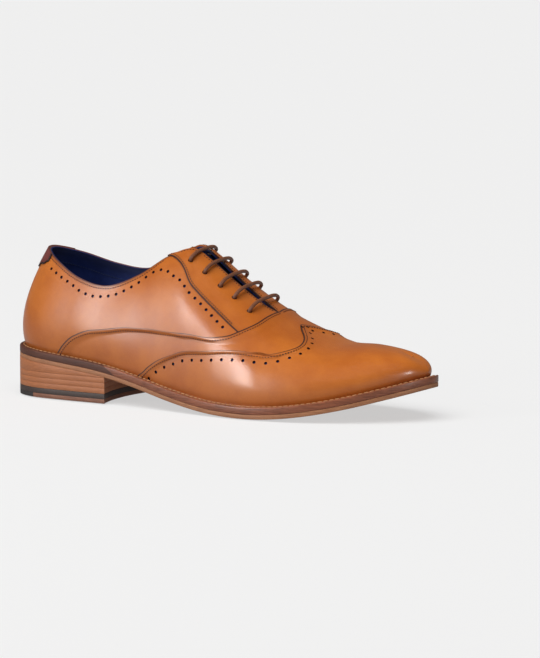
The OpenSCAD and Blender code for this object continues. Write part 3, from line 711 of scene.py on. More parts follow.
def calf(name, light, dark, edge, rough=0.42, coat=0.6, burnish=0.35, paintedWeltShade=0.25, pore=0.0007,
         bump=0.25, cutWidth=0.12, burnishWidth=0.45):
    # light and dark: the dye's drift; edge: the painted cut edge
    material, shader, t, where = newMaterial(name, Coat_Weight=coat, Coat_Roughness=0.24,
                                             Specular_IOR_Level=0.3)
    wear = t.add("ShaderNodeUVMap", {"uv_map": "wear"}).outputs["UV"]
    grain = useGroup(t, calfGrain, Vector=where, Pore_Size=pore)
    edges = useGroup(t, edgeWearAndShade, Wear_Map=wear, Vector=where, Cut_Width=cutWidth, Burnish_Width=burnishWidth)
    tone = t.math("MULTIPLY", grain.outputs["Tone"], 0.75)
    tone = t.math("ADD", tone, t.math("MULTIPLY", grain.outputs["Fleck"], 0.12))
    colour = t.mixColour(tone, dark, light)
    # a darker tone, used for the burnish and for the painted shade above the welt
    deep = tuple(0.42 * c for c in dark)
    share = t.math("MULTIPLY", edges.outputs["Burnish"], burnish)
    colour = t.mixColour(share, colour, deep)
    # painted shade: the upper is coloured darker just above the welt
    colour = t.mixColour(t.math("MULTIPLY", edges.outputs["Painted Welt Shade"], paintedWeltShade), colour, deep)
    colour = t.mixColour(edges.outputs["Cut"], colour, edge)
    t.put(shader.inputs["Base Color"], colour)
    gloss = t.math("ADD", t.math("MULTIPLY", grain.outputs["Tone"], 0.07), rough)
    t.put(shader.inputs["Roughness"], t.math("ADD", gloss, t.math("MULTIPLY", edges.outputs["Cut"], 0.15)))
    useBump(t, shader, grain.outputs["Height"], bump, 0.00025)
    return material


def solidLeather(name, light, dark, rough=0.5, layer=0.0009, bump=0.5, coat=0.0):
    # sole and heel leather: burnished edge with fine level streaks
    material, shader, t, where = newMaterial(name, Coat_Weight=coat, Coat_Roughness=0.25,
                                             Specular_IOR_Level=0.3)
    streaks = useGroup(t, edgeGrain, Vector=where, Layer=layer)
    drift = t.ramp(t.noise(where, 60.0, 3.0), 0.3, 0.7)
    share = t.math("ADD", t.math("MULTIPLY", streaks.outputs["Streak"], 0.7), t.math("MULTIPLY", drift, 0.3))
    t.put(shader.inputs["Base Color"], t.mixColour(share, dark, light))
    gloss = t.math("ADD", t.math("MULTIPLY", streaks.outputs["Streak"], 0.12), rough)
    t.put(shader.inputs["Roughness"], gloss)
    useBump(t, shader, streaks.outputs["Height"], bump, 0.0002)
    return material


def threadStuff(name, light, dark, rough=0.55):
    material, shader, t, where = newMaterial(name)
    twist = t.noise(where, 3500.0, 2.0)
    t.put(shader.inputs["Base Color"], t.mixColour(t.ramp(twist, 0.35, 0.65), dark, light))
    t.put(shader.inputs["Roughness"], t.math("ADD", t.math("MULTIPLY", twist, 0.2), rough))
    useBump(t, shader, twist, 0.4, 0.0001)
    return material


def plainStuff(name, light, dark, rough, scale=200.0, metallic=0.0, bump=0.3, depth=0.0002):
    material, shader, t, where = newMaterial(name, Metallic=metallic)
    mottle = t.noise(where, scale, 5.0, 0.6)
    t.put(shader.inputs["Base Color"], t.mixColour(t.ramp(mottle, 0.3, 0.7), dark, light))
    t.put(shader.inputs["Roughness"], t.math("ADD", t.math("MULTIPLY", mottle, 0.2), rough))
    useBump(t, shader, mottle, bump, depth)
    return material


def laceStuff(name, light, dark):
    # waxed round lace: a fine braid that follows the lace's own map
    material, shader, t, where = newMaterial(name, Coat_Weight=0.15, Coat_Roughness=0.35)
    around = t.add("ShaderNodeUVMap", {"uv_map": "wear"}).outputs["UV"]
    axes = t.add("ShaderNodeSeparateXYZ", Vector=around)
    along = t.math("MULTIPLY", axes.outputs["X"], 10 * math.tau)
    turn = t.math("MULTIPLY", axes.outputs["Y"], 6 * math.tau)
    left = t.math("SINE", t.math("ADD", along, turn))
    right = t.math("SINE", t.math("SUBTRACT", along, turn))
    braid = t.ramp(t.math("MULTIPLY", left, right), -0.7, 0.7)
    fuzz = t.noise(where, 2500.0, 3.0)
    height = t.math("ADD", braid, t.math("MULTIPLY", fuzz, 0.5))
    # painted shade: the braid's hollows are coloured darker and its crests lighter
    t.put(shader.inputs["Base Color"], t.mixColour(t.ramp(height, 0.2, 1.2), dark, light))
    t.put(shader.inputs["Roughness"], t.math("ADD", t.math("MULTIPLY", fuzz, 0.15), 0.45))
    useBump(t, shader, height, 0.55, 0.00025)
    return material


# colours of the leathers and laces, with the painted shade of the tongue and of the lace's hollows
finishAndShade = {
    "tanLight": (0.600, 0.170, 0.018),
    "tanDark": (0.440, 0.104, 0.008),
    "cutEdge": (0.050, 0.016, 0.009),
    "burgundyLight": (0.190, 0.042, 0.036),
    "burgundyDark": (0.100, 0.021, 0.019),
    "navyLight": (0.030, 0.055, 0.230),
    "navyDark": (0.011, 0.020, 0.095),
    # tongue: navy leather darkened well below the lining's navy, a painted shade for the deep gap between the
    # facings
    "tongueShadeLight": (0.016, 0.022, 0.060),
    "tongueShadeDark": (0.007, 0.010, 0.028),
    # lace: the crest colour, and a darker painted shade for the braid's hollows
    "laceCrest": (0.300, 0.105, 0.045),
    "laceHollowShade": (0.100, 0.034, 0.015),
}
tanCalf = calf("tanCalf", finishAndShade["tanLight"], finishAndShade["tanDark"], finishAndShade["cutEdge"])
toplineCalf = calf("toplineCalf", finishAndShade["tanLight"], finishAndShade["tanDark"], (0.13, 0.038, 0.022), burnish=0.7,
                   cutWidth=0.13, burnishWidth=0.5)
burgundyCalf = calf("burgundyCalf", finishAndShade["burgundyLight"], finishAndShade["burgundyDark"], (0.02, 0.006, 0.006),
                    rough=0.38, coat=0.25, paintedWeltShade=0.0)
navyLining = calf("navyLining", finishAndShade["navyLight"], finishAndShade["navyDark"], finishAndShade["navyDark"], rough=0.55,
                  coat=0.0, burnish=0.8, paintedWeltShade=0.0, pore=0.0010, bump=0.35, cutWidth=0.02, burnishWidth=1.05)
# the tongue's navy with painted shade: darkened for the deep gap between the facings
tongueCalfWithShade = calf("tongueCalfWithShade", finishAndShade["tongueShadeLight"], finishAndShade["tongueShadeDark"], finishAndShade["tongueShadeDark"],
                  rough=0.5, coat=0.1, burnish=0.2, paintedWeltShade=0.0, cutWidth=0.02)
weltLeather = solidLeather("weltLeather", (0.34, 0.110, 0.052), (0.150, 0.047, 0.024), rough=0.34, coat=0.2)
randLeather = solidLeather("randLeather", (0.130, 0.046, 0.028), (0.065, 0.023, 0.015), rough=0.5)
soleLeather = solidLeather("soleLeather", (0.47, 0.21, 0.10), (0.30, 0.12, 0.055), rough=0.5)
liftLeather = solidLeather("liftLeather", (0.49, 0.180, 0.072), (0.35, 0.122, 0.048), rough=0.45,
                           layer=0.0005)
topPieceLeather = solidLeather("topPieceLeather", (0.31, 0.135, 0.08), (0.17, 0.07, 0.042), rough=0.5)
heelRubber = plainStuff("heelRubber", (0.060, 0.034, 0.026), (0.030, 0.017, 0.014), 0.5, 900.0)
toughRubber = plainStuff("toughRubber", (0.030, 0.022, 0.020), (0.014, 0.010, 0.010), 0.55, 900.0)
brownThread = threadStuff("brownThread", (0.13, 0.036, 0.014), (0.05, 0.014, 0.007))
topThread = threadStuff("topThread", (0.13, 0.030, 0.016), (0.05, 0.013, 0.008))
navyThread = threadStuff("navyThread", (0.03, 0.05, 0.14), (0.012, 0.020, 0.06))
goldThread = threadStuff("goldThread", (0.62, 0.32, 0.14), (0.36, 0.16, 0.06))
waxedLace = laceStuff("waxedLace", finishAndShade["laceCrest"], finishAndShade["laceHollowShade"])
agletPlastic = plainStuff("agletPlastic", (0.07, 0.030, 0.018), (0.045, 0.018, 0.012), 0.2, 500.0, bump=0.05)
boardStuff = plainStuff("boardStuff", (0.56, 0.40, 0.25), (0.40, 0.26, 0.15), 0.75, 350.0)
feltBoard = plainStuff("feltBoard", (0.62, 0.52, 0.38), (0.45, 0.36, 0.25), 0.9, 700.0)
corkStuff = plainStuff("corkStuff", (0.42, 0.25, 0.12), (0.16, 0.08, 0.035), 0.85, 420.0, bump=0.8)
steelStuff = plainStuff("steelStuff", (0.55, 0.56, 0.58), (0.38, 0.39, 0.41), 0.28, 160.0, metallic=1.0,
                        bump=0.1)
brassStuff = plainStuff("brassStuff", (0.62, 0.45, 0.18), (0.42, 0.29, 0.10), 0.3, 300.0, metallic=1.0,
                        bump=0.1)
print("materials ready")


lacing = {
    "diameter": 2.5,
    "arch": 4.0,
    "depth": -3.9,
    "bend": 2.0,
    "agletLength": 20.0,
    "agletWall": 0.12,
    "lateralRoute": [
        (-13, -15.5, 88.3), (-19, -17.5, 87), (-26, -18.5, 84.5), (-33.5, -21, 77), (-41, -24, 66),
        (-49, -26.5, 52), (-60, -25, 38.9), (-72, -20, 33.9), (-84, -14, 35.4), (-96, -8, 36.7),
        (-108, -1, 37.9), (-118, 8, 38.8), (-112, 16, 38.3), (-101, 19, 37.2), (-89, 18, 36),
        (-78, 16.5, 34.7), (-58.5, 13, 32.3)],
    "medialRoute": [
        (-20, 15.2, 96.8), (-27, 17, 94.3), (-35, 20, 87), (-42, 22, 76), (-47, 23, 63), (-48, 23, 50),
        (-45, 21, 38.5), (-37, 16, 29), (-26, 10, 23.8), (-15, 3, 21.3), (-4, -4, 19.4), (7, -10, 17.7),
        (19, -13, 16.4), (31, -13, 15.7), (43, -10, 15.7), (54, -5, 15.9), (73, 3, 17.4)],
}


def smoothPath(keys, steps):
    t = np.linspace(0, len(keys) - 1, (len(keys) - 1) * steps + 1)
    return curveAt(np.array(keys, float), t)


def spreadEvenly(path, spacing):
    along = np.concatenate([[0], np.cumsum(np.linalg.norm(np.diff(path, axis=0), axis=1))])
    count = max(2, int(round(along[-1] / spacing)) + 1)
    wanted = np.linspace(0, along[-1], count)
    return np.stack([np.interp(wanted, along, path[:, i]) for i in range(path.shape[1])], 1), along[-1]


def makeTube(path, radii, sides=12):
    # path in metres; a grid rolled round the path, both ends drawn to a point
    radii = np.broadcast_to(radii, (len(path),)).copy()
    path = np.vstack([path[:1], path, path[-1:]])
    radii = np.concatenate([[0], radii, [0]])
    tangent = unit(np.gradient(path[1:-1], axis=0))
    tangent = np.vstack([tangent[:1], tangent, tangent[-1:]])
    side = np.zeros_like(path)
    side[0] = np.cross(tangent[0], (0.3, 1, 0.2))
    for i in range(len(path)):
        start = side[max(i - 1, 0)]
        side[i] = start - tangent[i] * np.dot(start, tangent[i])
        side[i] /= np.linalg.norm(side[i])
    other = np.cross(tangent, side)
    piece, a, b = newGrid(len(path) - 1, sides)
    i = np.round(a * (len(path) - 1)).astype(int)
    angle = math.tau * b
    points = path[i] + radii[i, None] * (side[i] * np.cos(angle)[:, None] + other[i] * np.sin(angle)[:, None])
    setPoints(piece, points)
    along = np.concatenate([[0], np.cumsum(np.linalg.norm(np.diff(path, axis=0), axis=1))])
    storeMap(piece, along[i] * 100, b)
    mergeDoubles(piece, 1e-7)
    return piece


def makeLaceEnd(name, route, node):
    # a free end with its moulded tip; the last point of the route is the tip's far end
    route = np.array(route) * mm
    dense = smoothPath(route[:-1], 12)
    path, length = spreadEvenly(dense, 0.0012)
    end = makeTube(path, lacing["diameter"] / 2 * mm)
    finishMesh(name, "shoe", [node], waxedLace)
    heading = unit(route[-1] - route[-2])
    share = np.linspace(0, 1, 25)
    reach = share * lacing["agletLength"] * mm
    radius = (lacing["diameter"] / 2 + lacing["agletWall"]) * mm
    radius = radius * (1 - 0.12 * smoothStep(0.8, 1.0, share))  # drawn in at the tip
    radius[0] *= 0.97
    tip = makeTube(route[-2] + heading * reach[:, None], radius, 16)
    finishMesh("aglet_tip_" + name, "shoe", [node.replace("lace_end", "aglet")], agletPlastic)


makeLaceEnd("free_lace_lateral", lacing["lateralRoute"], "lace_end_lateral")
makeLaceEnd("free_lace_medial", lacing["medialRoute"], "lace_end_medial")


def at(s, h):
    return skin(np.atleast_1d(float(s)), np.atleast_1d(float(h)))[0]


def outAt(s, h):
    return skinOut(np.atleast_1d(float(s)), np.atleast_1d(float(h)))[0]


def atHole(p, side, depth, along=0.0, across=0.0):
    low, high = int(math.floor(p)), int(math.ceil(p))
    q = (holes[low] + holes[high]) / 2
    s = side * q[0]
    reach = 1 if low == high else 0
    after, before = holes[min(4, high + reach)], holes[max(0, low - reach)]
    row = unit(at(side * after[0], after[1]) - at(side * before[0], before[1]))
    n = outAt(s, q[1])
    return at(s, q[1]) + depth * n + along * row + across * side * unit(np.cross(n, row))


def laceBar(p, side):
    climb = [atHole(p, side, -1.9), atHole(p, side, 0), atHole(p, side, 2, 0, -0.6)]
    down = [atHole(p, -side, 2, 0, -0.6), atHole(p, -side, 0), atHole(p, -side, -1.9)]
    a, b = atHole(p, side, 2), atHole(p, -side, 2)
    over = [a + (b - a) * t + np.array([0.45, 0, 1]) * lacing["arch"] * (1 - (2 * t - 1)**4)
            for t in (0.12, 0.3, 0.5, 0.7, 0.88)]
    return climb + over + down


def laceRun(p, q, side, across):
    e = 1 if p < q else -1
    depth, bend = lacing["depth"], lacing["bend"]
    middle = [atHole((p + q) / 2, side, depth - 0.25, 0, across)] if abs(p - q) > 1 else []
    return ([atHole(p, side, depth + 0.6, e * 0.6), atHole(p, side, depth, e * bend)] + middle
            + [atHole(q, side, depth, -e * bend), atHole(q, side, depth + 0.6, -e * 0.6)])


def makeLace():
    depth, bend = lacing["depth"], lacing["bend"]
    origin = np.array(last["origin"])
    keys = [np.array(lacing["lateralRoute"][0]) + origin, atHole(1, -1, depth, -bend),
            atHole(1, -1, depth + 0.6, -0.6)]
    keys += laceBar(1, -1) + laceRun(1, 3, 1, 3.2) + laceBar(3, 1) + laceRun(3, 4, -1, 0)
    keys += laceBar(4, -1) + laceRun(4, 2, 1, -3.2) + laceBar(2, 1) + laceRun(2, 0, -1, -3.2) + laceBar(0, -1)
    keys += [atHole(0, 1, depth + 0.6, -0.6), atHole(0, 1, depth, -bend),
             np.array(lacing["medialRoute"][0]) + origin]
    keys = np.array(keys)
    # knots spaced by the root of the distance keep the curve from swinging out at the holes
    knots = np.concatenate([[0], np.cumsum(np.sqrt(np.linalg.norm(np.diff(keys, axis=0), axis=1)))])
    slope = np.gradient(keys, knots, axis=0)
    dense = []
    for i in range(len(keys) - 1):
        w = knots[i + 1] - knots[i]
        for t in np.linspace(0, 1, 12, endpoint=False):
            dense.append(hermite(keys[i], keys[i + 1], slope[i], slope[i + 1], w, t))
    dense.append(keys[-1])
    path, _ = spreadEvenly(place(np.array(dense)), 0.0008)
    makeTube(path, lacing["diameter"] / 2 * mm)
    finishMesh("laced_bars", "shoe", ["lace"], waxedLace)


makeLace()
print("laces ready")

upper = {
    "leather": 1.2,
    "lap": 0.95,
    "lapReach": 10.0,
    "rim": 0.35,
    "puncture": 2.2,
    "laceHole": 3.5,
    "stitchPitch": 1.9,
    "stitchWidth": 0.72,
}


def shift(s, h, distance, steps=3):
    # moves a path over the skin by so many mm towards its left, seen from outside
    s, h = np.array(s, float), np.array(h, float)
    for _ in range(steps):
        p = skin(s, h)
        out = skinOut(s, np.clip(h, 0.005, 2))
        tangent = unit(np.gradient(p, axis=0))
        move = unit(np.cross(out, tangent)) * distance / steps
        ds = (skin(s + 0.02, h) - skin(s - 0.02, h)) / 0.04
        dh = skin(s, h + 0.01) - skin(s, np.maximum(h - 0.01, 0))
        dh = dh / np.where(h > 0.01, 0.02, 0.01 + h)[:, None]
        a, b, c = (ds * ds).sum(1), (ds * dh).sum(1), (dh * dh).sum(1)
        e, f = (ds * move).sum(1), (dh * move).sum(1)
        det = a * c - b * b
        s = s + (e * c - f * b) / det
        h = h + (a * f - b * e) / det
    return s, h


def evenly(s, h, spacing, lift=0.0, count=None):
    # points and outward directions at even spacing along a path on the skin
    p = skin(s, h)
    along = np.concatenate([[0], np.cumsum(np.linalg.norm(np.diff(p, axis=0), axis=1))])
    number = count or max(2, int(round(along[-1] / spacing)) + 1)
    wanted = np.linspace(0, along[-1], number)
    s, h = np.interp(wanted, along, s), np.interp(wanted, along, h)
    out = skinOut(s, np.clip(h, 0.005, 2))
    return skin(s, h) + out * lift, out


def makeStitchShape():
    # one stitch, lying along x: made once, then copied along every row
    deselect()
    bpy.ops.mesh.primitive_uv_sphere_add(segments=6, ring_count=5, radius=0.5, rotation=(0, math.pi / 2, 0))
    shape = bpy.context.object
    bpy.ops.object.transform_apply(location=True, rotation=True, scale=True)
    corners = np.empty(len(shape.data.vertices) * 3)
    shape.data.vertices.foreach_get("co", corners)
    faces = [tuple(face.vertices) for face in shape.data.polygons]
    bpy.data.objects.remove(shape)
    return corners.reshape(-1, 3), faces


stitchShape, stitchFaces = makeStitchShape()


def makeStitches(name, rows, material, width=upper["stitchWidth"], gapShare=0.3):
    # rows: lists of points and outward directions in the last's millimetres
    shape = np.sign(stitchShape) * np.abs(stitchShape / 0.5)**np.array([0.8, 1, 1]) * 0.5
    corners, faces = [], []
    for points, outs in rows:
        ahead = points[1:] - points[:-1]
        length = np.linalg.norm(ahead, axis=1)
        x = unit(ahead)
        z = unit((outs[1:] + outs[:-1]) / 2)
        y = unit(np.cross(z, x))
        z = np.cross(x, y)
        centre = (points[1:] + points[:-1]) / 2
        size = length * (1 - gapShare)
        block = (centre[:, None] + x[:, None] * (shape[None, :, :1] * size[:, None, None])
                 + y[:, None] * shape[None, :, 1:2] * width + z[:, None] * shape[None, :, 2:] * width * 0.8)
        for one in block:
            start = len(corners) * len(stitchShape)
            faces.extend(tuple(start + i for i in face) for face in stitchFaces)
            corners.append(one)
    mesh = bpy.data.meshes.new(name)
    mesh.from_pydata(place(np.vstack(corners)).tolist(), [], faces)
    mesh.update()
    piece = bpy.data.objects.new(name, mesh)
    bpy.context.scene.collection.objects.link(piece)
    deselect()
    piece.select_set(True)
    bpy.context.view_layer.objects.active = piece
    bpy.ops.object.shade_smooth()
    piece.data.materials.append(material)
    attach(piece, "shoe")


def overSeam(seam, count=400):
    # the whole seam from the lateral sole over the ridge to the medial sole
    u = np.linspace(0.001, 0.999, count)
    side = np.where(u < 0.5, -1.0, 1.0)
    p = seam(1 - np.abs(2 * u - 1))
    return side * p[:, 0], p[:, 1]


wingPath = overSeam(onWingSeam)
vampPath = overSeam(onVampSeam)


# the toe: lapped over the vamp, shut along the middle of the toe
def makeWing():
    piece = makePanel(ruledOver(onWingSeam, toeLine), 110, 260, upper["leather"],
                      lapLift("left", upper["lap"], upper["lapReach"]), ["left"], False, even=False)
    roundRim(piece, upper["rim"])
    s, h = shift(*wingPath, -brogue["wingInset"])
    spots, outs = evenly(s, h, brogue["wingSpacing"])
    punch(piece, place(spots[1:-1]), outs[1:-1], upper["puncture"])
    finishMesh("wing_cap_leather", "shoe", ["wing_cap"], tanCalf)


def makeVamp():
    piece = makePanel(ruledOver(onVampSeam, onWingSeam, under=0.05), 60, 200, upper["leather"],
                      lapLift("left", upper["lap"], upper["lapReach"]), ["left"], False)
    roundRim(piece, upper["rim"])
    finishMesh("vamp_leather", "shoe", ["vamp"], tanCalf)


def makeQuarter(side, word):
    piece = makePanel(quarterPattern(side), 200, 90, upper["leather"], evenLift(0.0), ["high"], side > 0)
    roundRim(piece, upper["rim"])
    line = np.array(brogue["quarterLine"])
    p = curveAt(line, np.linspace(0, len(line) - 1, 200))
    spots, outs = evenly(side * p[:, 0], p[:, 1], 0, count=brogue["quarterCount"])
    punch(piece, place(spots), outs, upper["puncture"])
    finishMesh("quarter_leather_" + word, "shoe", ["quarter_" + word], toplineCalf)


facing = {"lift": 0.9, "reach": 8.0}


def makeFacing(side, word):
    def lift(away, a, b, s, h):
        fade = 1 - 0.5 * smoothStep(0.7, 0.95, a)  # half the height where the vamp covers it
        return facing["lift"] * (1 - smoothStep(1.5, facing["reach"], away["low"])) * fade
    piece = makePanel(facingPattern(side), 110, 36, upper["leather"], lift, ["low", "high"], side > 0)
    roundRim(piece, upper["rim"])
    s, h = side * holes[:, 0], holes[:, 1]
    punch(piece, place(skin(s, h)), skinOut(s, h), upper["laceHole"], depth=5, sides=20)
    finishMesh("facing_leather_" + word, "shoe", ["facing_" + word], tanCalf)


brogue = {
    "wingInset": 6.0,
    "wingSpacing": 8.0,
    "quarterCount": 28,
    "quarterLine": [
        (1.80, 0.857), (2.30, 0.855), (2.76, 0.865), (3.07, 0.841), (3.49, 0.836), (3.92, 0.857),
        (4.40, 0.857), (4.89, 0.863), (5.42, 0.872), (5.78, 0.845), (6.23, 0.774), (6.62, 0.694),
        (7.49, 0.607), (8.22, 0.582), (8.71, 0.561), (9.15, 0.534)],
}

sides = ((-1, "lateral"), (1, "medial"))
makeWing()
makeVamp()
for side, word in sides:
    makeQuarter(side, word)
    makeFacing(side, word)
print("outer leather ready")


# burgundy tab and strip on the back seam
tab = {
    "reach": 1.5,
    "lowEdge": [(0, 0.72), (0.5, 0.75), (1, 0.8), (1.5, 0.9)],
    "scallop": 0.012,
    "scallops": 3,
    "thick": 0.8,
    "lift": 0.95,
    "rim": 0.3,
    "stripHalfWidth": 0.26,
    "stripTop": 0.735,
    "stripThick": 0.7,
    "stripLift": 0.8,
    "stripRim": 0.25,
}


def makeTab():
    def pattern(a, b):
        s = tab["reach"] * (2 * a - 1)
        share = np.abs(s) / tab["reach"]
        low = curveAt(np.array(tab["lowEdge"]), 2 * np.abs(s))[:, 1]
        scallop = tab["scallop"] * np.cos(share * tab["scallops"] * math.tau)
        return s, mix(low + scallop * (1 - smoothStep(0.85, 1, share)), 1.0, b)

    piece = makePanel(pattern, 72, 40, tab["thick"], evenLift(tab["lift"]), ["low", "left", "right"], True)
    roundRim(piece, tab["rim"])
    finishMesh("heel_tab_leather", "shoe", ["heel_tab"], burgundyCalf)

    def stripPattern(a, b):
        return tab["stripHalfWidth"] * (2 * a - 1), mix(0.01, tab["stripTop"], b)

    piece = makePanel(stripPattern, 8, 90, tab["stripThick"], evenLift(tab["stripLift"]), ["left", "right"],
                      True)
    roundRim(piece, tab["stripRim"])
    finishMesh("back_strip_leather", "shoe", ["back_strip"], burgundyCalf)


makeTab()


# lining: close behind the leather at the rim, behind the stiffeners lower down
lining = {
    "thick": 0.85,
    "gap": 0.35,
    "stiffener": 1.2,
    "counterEnd": (3.4, 4.6),
    "counterTop": (0.6, 0.8),
    "puffStart": (12.1, 12.8),
}


def liningLift(away, a, b, s, h):
    u = np.abs(s)
    k = np.where(h > 1, 2 - h, h)
    counter = (1 - smoothStep(*lining["counterEnd"], u)) * (1 - smoothStep(*lining["counterTop"], k))
    room = smoothStep(0, 0.05, k) * np.maximum(counter, smoothStep(*lining["puffStart"], u))
    inside = 1 - smoothStep(0.93, 1, k) * (u < last["throat"])
    return -(upper["leather"] + 0.03 + lining["gap"] * inside + lining["stiffener"] * room)


def makeLinings():
    for side, word in sides:
        def pattern(a, b):
            return side * last["throat"] * a, b
        piece = makePanel(pattern, 120, 56, lining["thick"], liningLift, ["high"], side > 0)
        s, h = side * holes[:, 0], holes[:, 1]
        punch(piece, place(skin(s, h)), skinOut(s, h), upper["laceHole"], depth=9, sides=16)
        finishMesh("quarter_lining_leather_" + word, "shoe", ["quarter_lining_" + word], navyLining)

    def frontPattern(a, b):
        side, t, turn = overRidge(b, 0.01)
        return side * mix(np.full(len(a), last["throat"] - 0.02), 15.0, a), t

    piece = makePanel(frontPattern, 40, 120, lining["thick"], liningLift, [], False, even=False)
    finishMesh("vamp_lining_leather", "shoe", ["vamp_lining"], navyLining)


makeLinings()


# tongue: rows from its sewn foot under the vamp to the free tip
tongue = {
    "rows": (10.7, 10.3, 9.9, 9.5, 9.0, 8.5, 8.0, 7.6),
    "tip": (4.0, 8.0),
    "shares": (-1, -0.75, -0.5, -0.25, 0, 0.25, 0.5, 0.75, 1),
    "depth": -5.55,
    "footDepth": -2.8,
    "thick": 1.1,
    "liningThick": 0.8,
    "rim": 0.25,
}


def tongueSheet(down):
    rows = []
    for s in tongue["rows"]:
        spread = 0.38 + (0.2 - 0.38) * smoothStep(9.2, 10.6, s)
        sink = tongue["depth"] + (tongue["footDepth"] - tongue["depth"]) * smoothStep(9.9, 10.5, s) - down
        row = []
        for c in tongue["shares"]:
            if c == 0:
                row.append((at(s, 1) + sink * outAt(s, 1) + at(-s, 1) + sink * outAt(-s, 1)) / 2)
            else:
                t = -s if c < 0 else s
                row.append(at(t, 1 - spread * abs(c)) + sink * outAt(t, 1 - spread * abs(c)))
        rows.append(row)
    tip = np.array(rows[-1])
    shares = np.array(tongue["shares"])
    for reach in tongue["tip"]:
        rows.append(tip + np.array([-0.95, 0, 0.3]) * reach * (1 - 0.8 * shares[:, None]**2))
    return np.array(rows)


def makeTongueLayer(name, node, down, thick, material):
    rows = tongueSheet(down)
    piece, a, b = newGrid(90, 60)
    across = np.array([curveAt(row, 8 * np.unique(b)) for row in rows])
    places = {value: i for i, value in enumerate(np.unique(b))}
    column = np.array([places[value] for value in b])
    points = np.zeros((len(a), 3))
    for i in range(across.shape[1]):
        pick = column == i
        points[pick] = curveAt(across[:, i], (len(rows) - 1) * a[pick])
    setPoints(piece, place(points))
    edge = np.minimum(np.minimum(b, 1 - b) * 34, (1 - a) * 45)
    storeWearAndShade(piece, edge, np.full(len(a), uncut))
    applyModifier(piece, "SOLIDIFY", thickness=thick * mm, offset=-1, use_even_offset=True)
    roundRim(piece, tongue["rim"])
    finishMesh(name, "tongue", [node], material)


makeTongueLayer("tongue_leather", "tongue", 0, tongue["thick"], tongueCalfWithShade)
makeTongueLayer("tongue_lining_leather", "tongue_lining", tongue["thick"] + 0.05, tongue["liningThick"],
                navyLining)
print("lining and tongue ready")


# distance of each row of stitches from its edge
rowInset = {"lap": 2.3, "facing": 1.8, "lacingEdge": 2.2, "topline": 2.3, "collar": 10.5}


def stitchUpper():
    pitch = upper["stitchPitch"]
    rows = []
    for path in (wingPath, vampPath):
        s, h = shift(*path, -rowInset["lap"])
        rows.append(evenly(s, h, pitch, upper["lap"] + 0.08))
    for side, word in sides:
        line = curveAt(facingSeam, np.linspace(0.15, 4.7, 160))
        s, h = shift(side * line[:, 0], line[:, 1], -side * rowInset["facing"])
        rows.append(evenly(s, h, pitch, 0.95))
        front = np.linspace(facingCorner + 0.12, last["throat"] - 0.12, 160)
        s, h = shift(side * front, np.ones(160), side * rowInset["lacingEdge"])
        rows.append(evenly(s, h, pitch, 0.06))
        top = np.linspace(facingSeam[0, 0] + 0.15, facingCorner - 0.1, 60)
        s, h = shift(side * top, np.ones(60), side * rowInset["lacingEdge"])
        rows.append(evenly(s, h, pitch, 0.12))
    makeStitches("upper_stitches", rows, brownThread)
    rows = []
    for side, word in sides:
        top = np.linspace(1.55, 5.85, 260)
        s, h = shift(side * top, np.ones(260), side * rowInset["topline"])
        rows.append(evenly(s, h, pitch, 0.07))
    makeStitches("topline_stitches", rows, topThread)
    rows = []
    for side, word in sides:
        top = np.linspace(0.05, 7.3, 300)
        s, h = shift(side * top, np.ones(300), side * rowInset["collar"])
        down = liningLift(None, None, None, s, h) - lining["thick"]
        points, outs = evenly(s, h, pitch)
        depth = np.interp(np.linspace(0, 1, len(points)), np.linspace(0, 1, len(down)), down)
        rows.append((points + outs * (depth[:, None] - 0.06), -outs))
    makeStitches("collar_stitches", rows, navyThread)


stitchUpper()
print("stitching ready")


sole = {
    "skiveTop": 83.0,
    "skiveBottom": 93.0,
    "corner": 0.8,
    "randCorner": 1.3,
    "randLip": 0.25,
    "groove": 0.25,
    "insoleHeight": soleThick + last["seat"] + 2.45,  # over the turned-in upper and lining
    "insole": 2.5,
    "sock": 0.9,
    "weltPitch": 3.8,
    "weltThread": 0.95,
    "weltThreadInset": 2.7,
    "weltThreadLift": 0.38,
}
heel = {
    "length": 80.0,
    "topPiece": 3.0,
    "rubber": 3.6,
    "lift": 3.6,
    "corner": 24.0,
    "breastRadius": 120.0,
    "breastCentre": 118.0,
    "round": 0.22,
}


def weltWidth(s):
    return mix(last["weltBack"], last["weltFront"], smoothStep(90, 170, foot(s)[:, 0]))


def outlinePoint(s, w):
    return foot(s) + footOut(s) * (weltWidth(s) + w)[:, None]


def cornerArc(w, z, radius, start, turn, steps=4):
    # points of a rounded corner: centre, radius, first angle and turn in degrees
    angles = np.radians(start + turn * np.linspace(0, 1, steps + 1))
    return [(w + radius * math.cos(t), z + radius * math.sin(t)) for t in angles]


def makeRing(name, profile, span, nodes, material, cols=420):
    # a profile of (width beyond the outline, height above the outsole) swept along the outline;
    # span gives the first and last station for each corner of the profile, and both ends are capped
    profile = np.array(profile + profile[:1])
    piece, a, b = newGrid(cols, len(profile) - 1)
    row = np.round(b * (len(profile) - 1)).astype(int)
    w, z = profile[row, 0], profile[row, 1]
    first, end = span(w, z)
    step = 1.0 / cols
    inner = np.clip((a - step) / (1 - 2 * step), 0, 1)
    s = first + (end - first) * inner
    cap = (a < step / 2) | (a > 1 - step / 2)
    w = np.where(cap, profile[:-1, 0].mean(), w)
    z = np.where(cap, profile[:-1, 1].mean(), z)
    first, end = span(w, z)
    s = np.where(cap, np.where(a < 0.5, first, end), s)
    s = np.where(s > toe, s - 2 * toe, s)
    p = outlinePoint(s, w)
    points = np.column_stack([p, underZ(p[:, 0]) + z])
    setPoints(piece, place(points))
    closeSolid(piece)
    finishMesh(name, "shoe", nodes, material, 40)


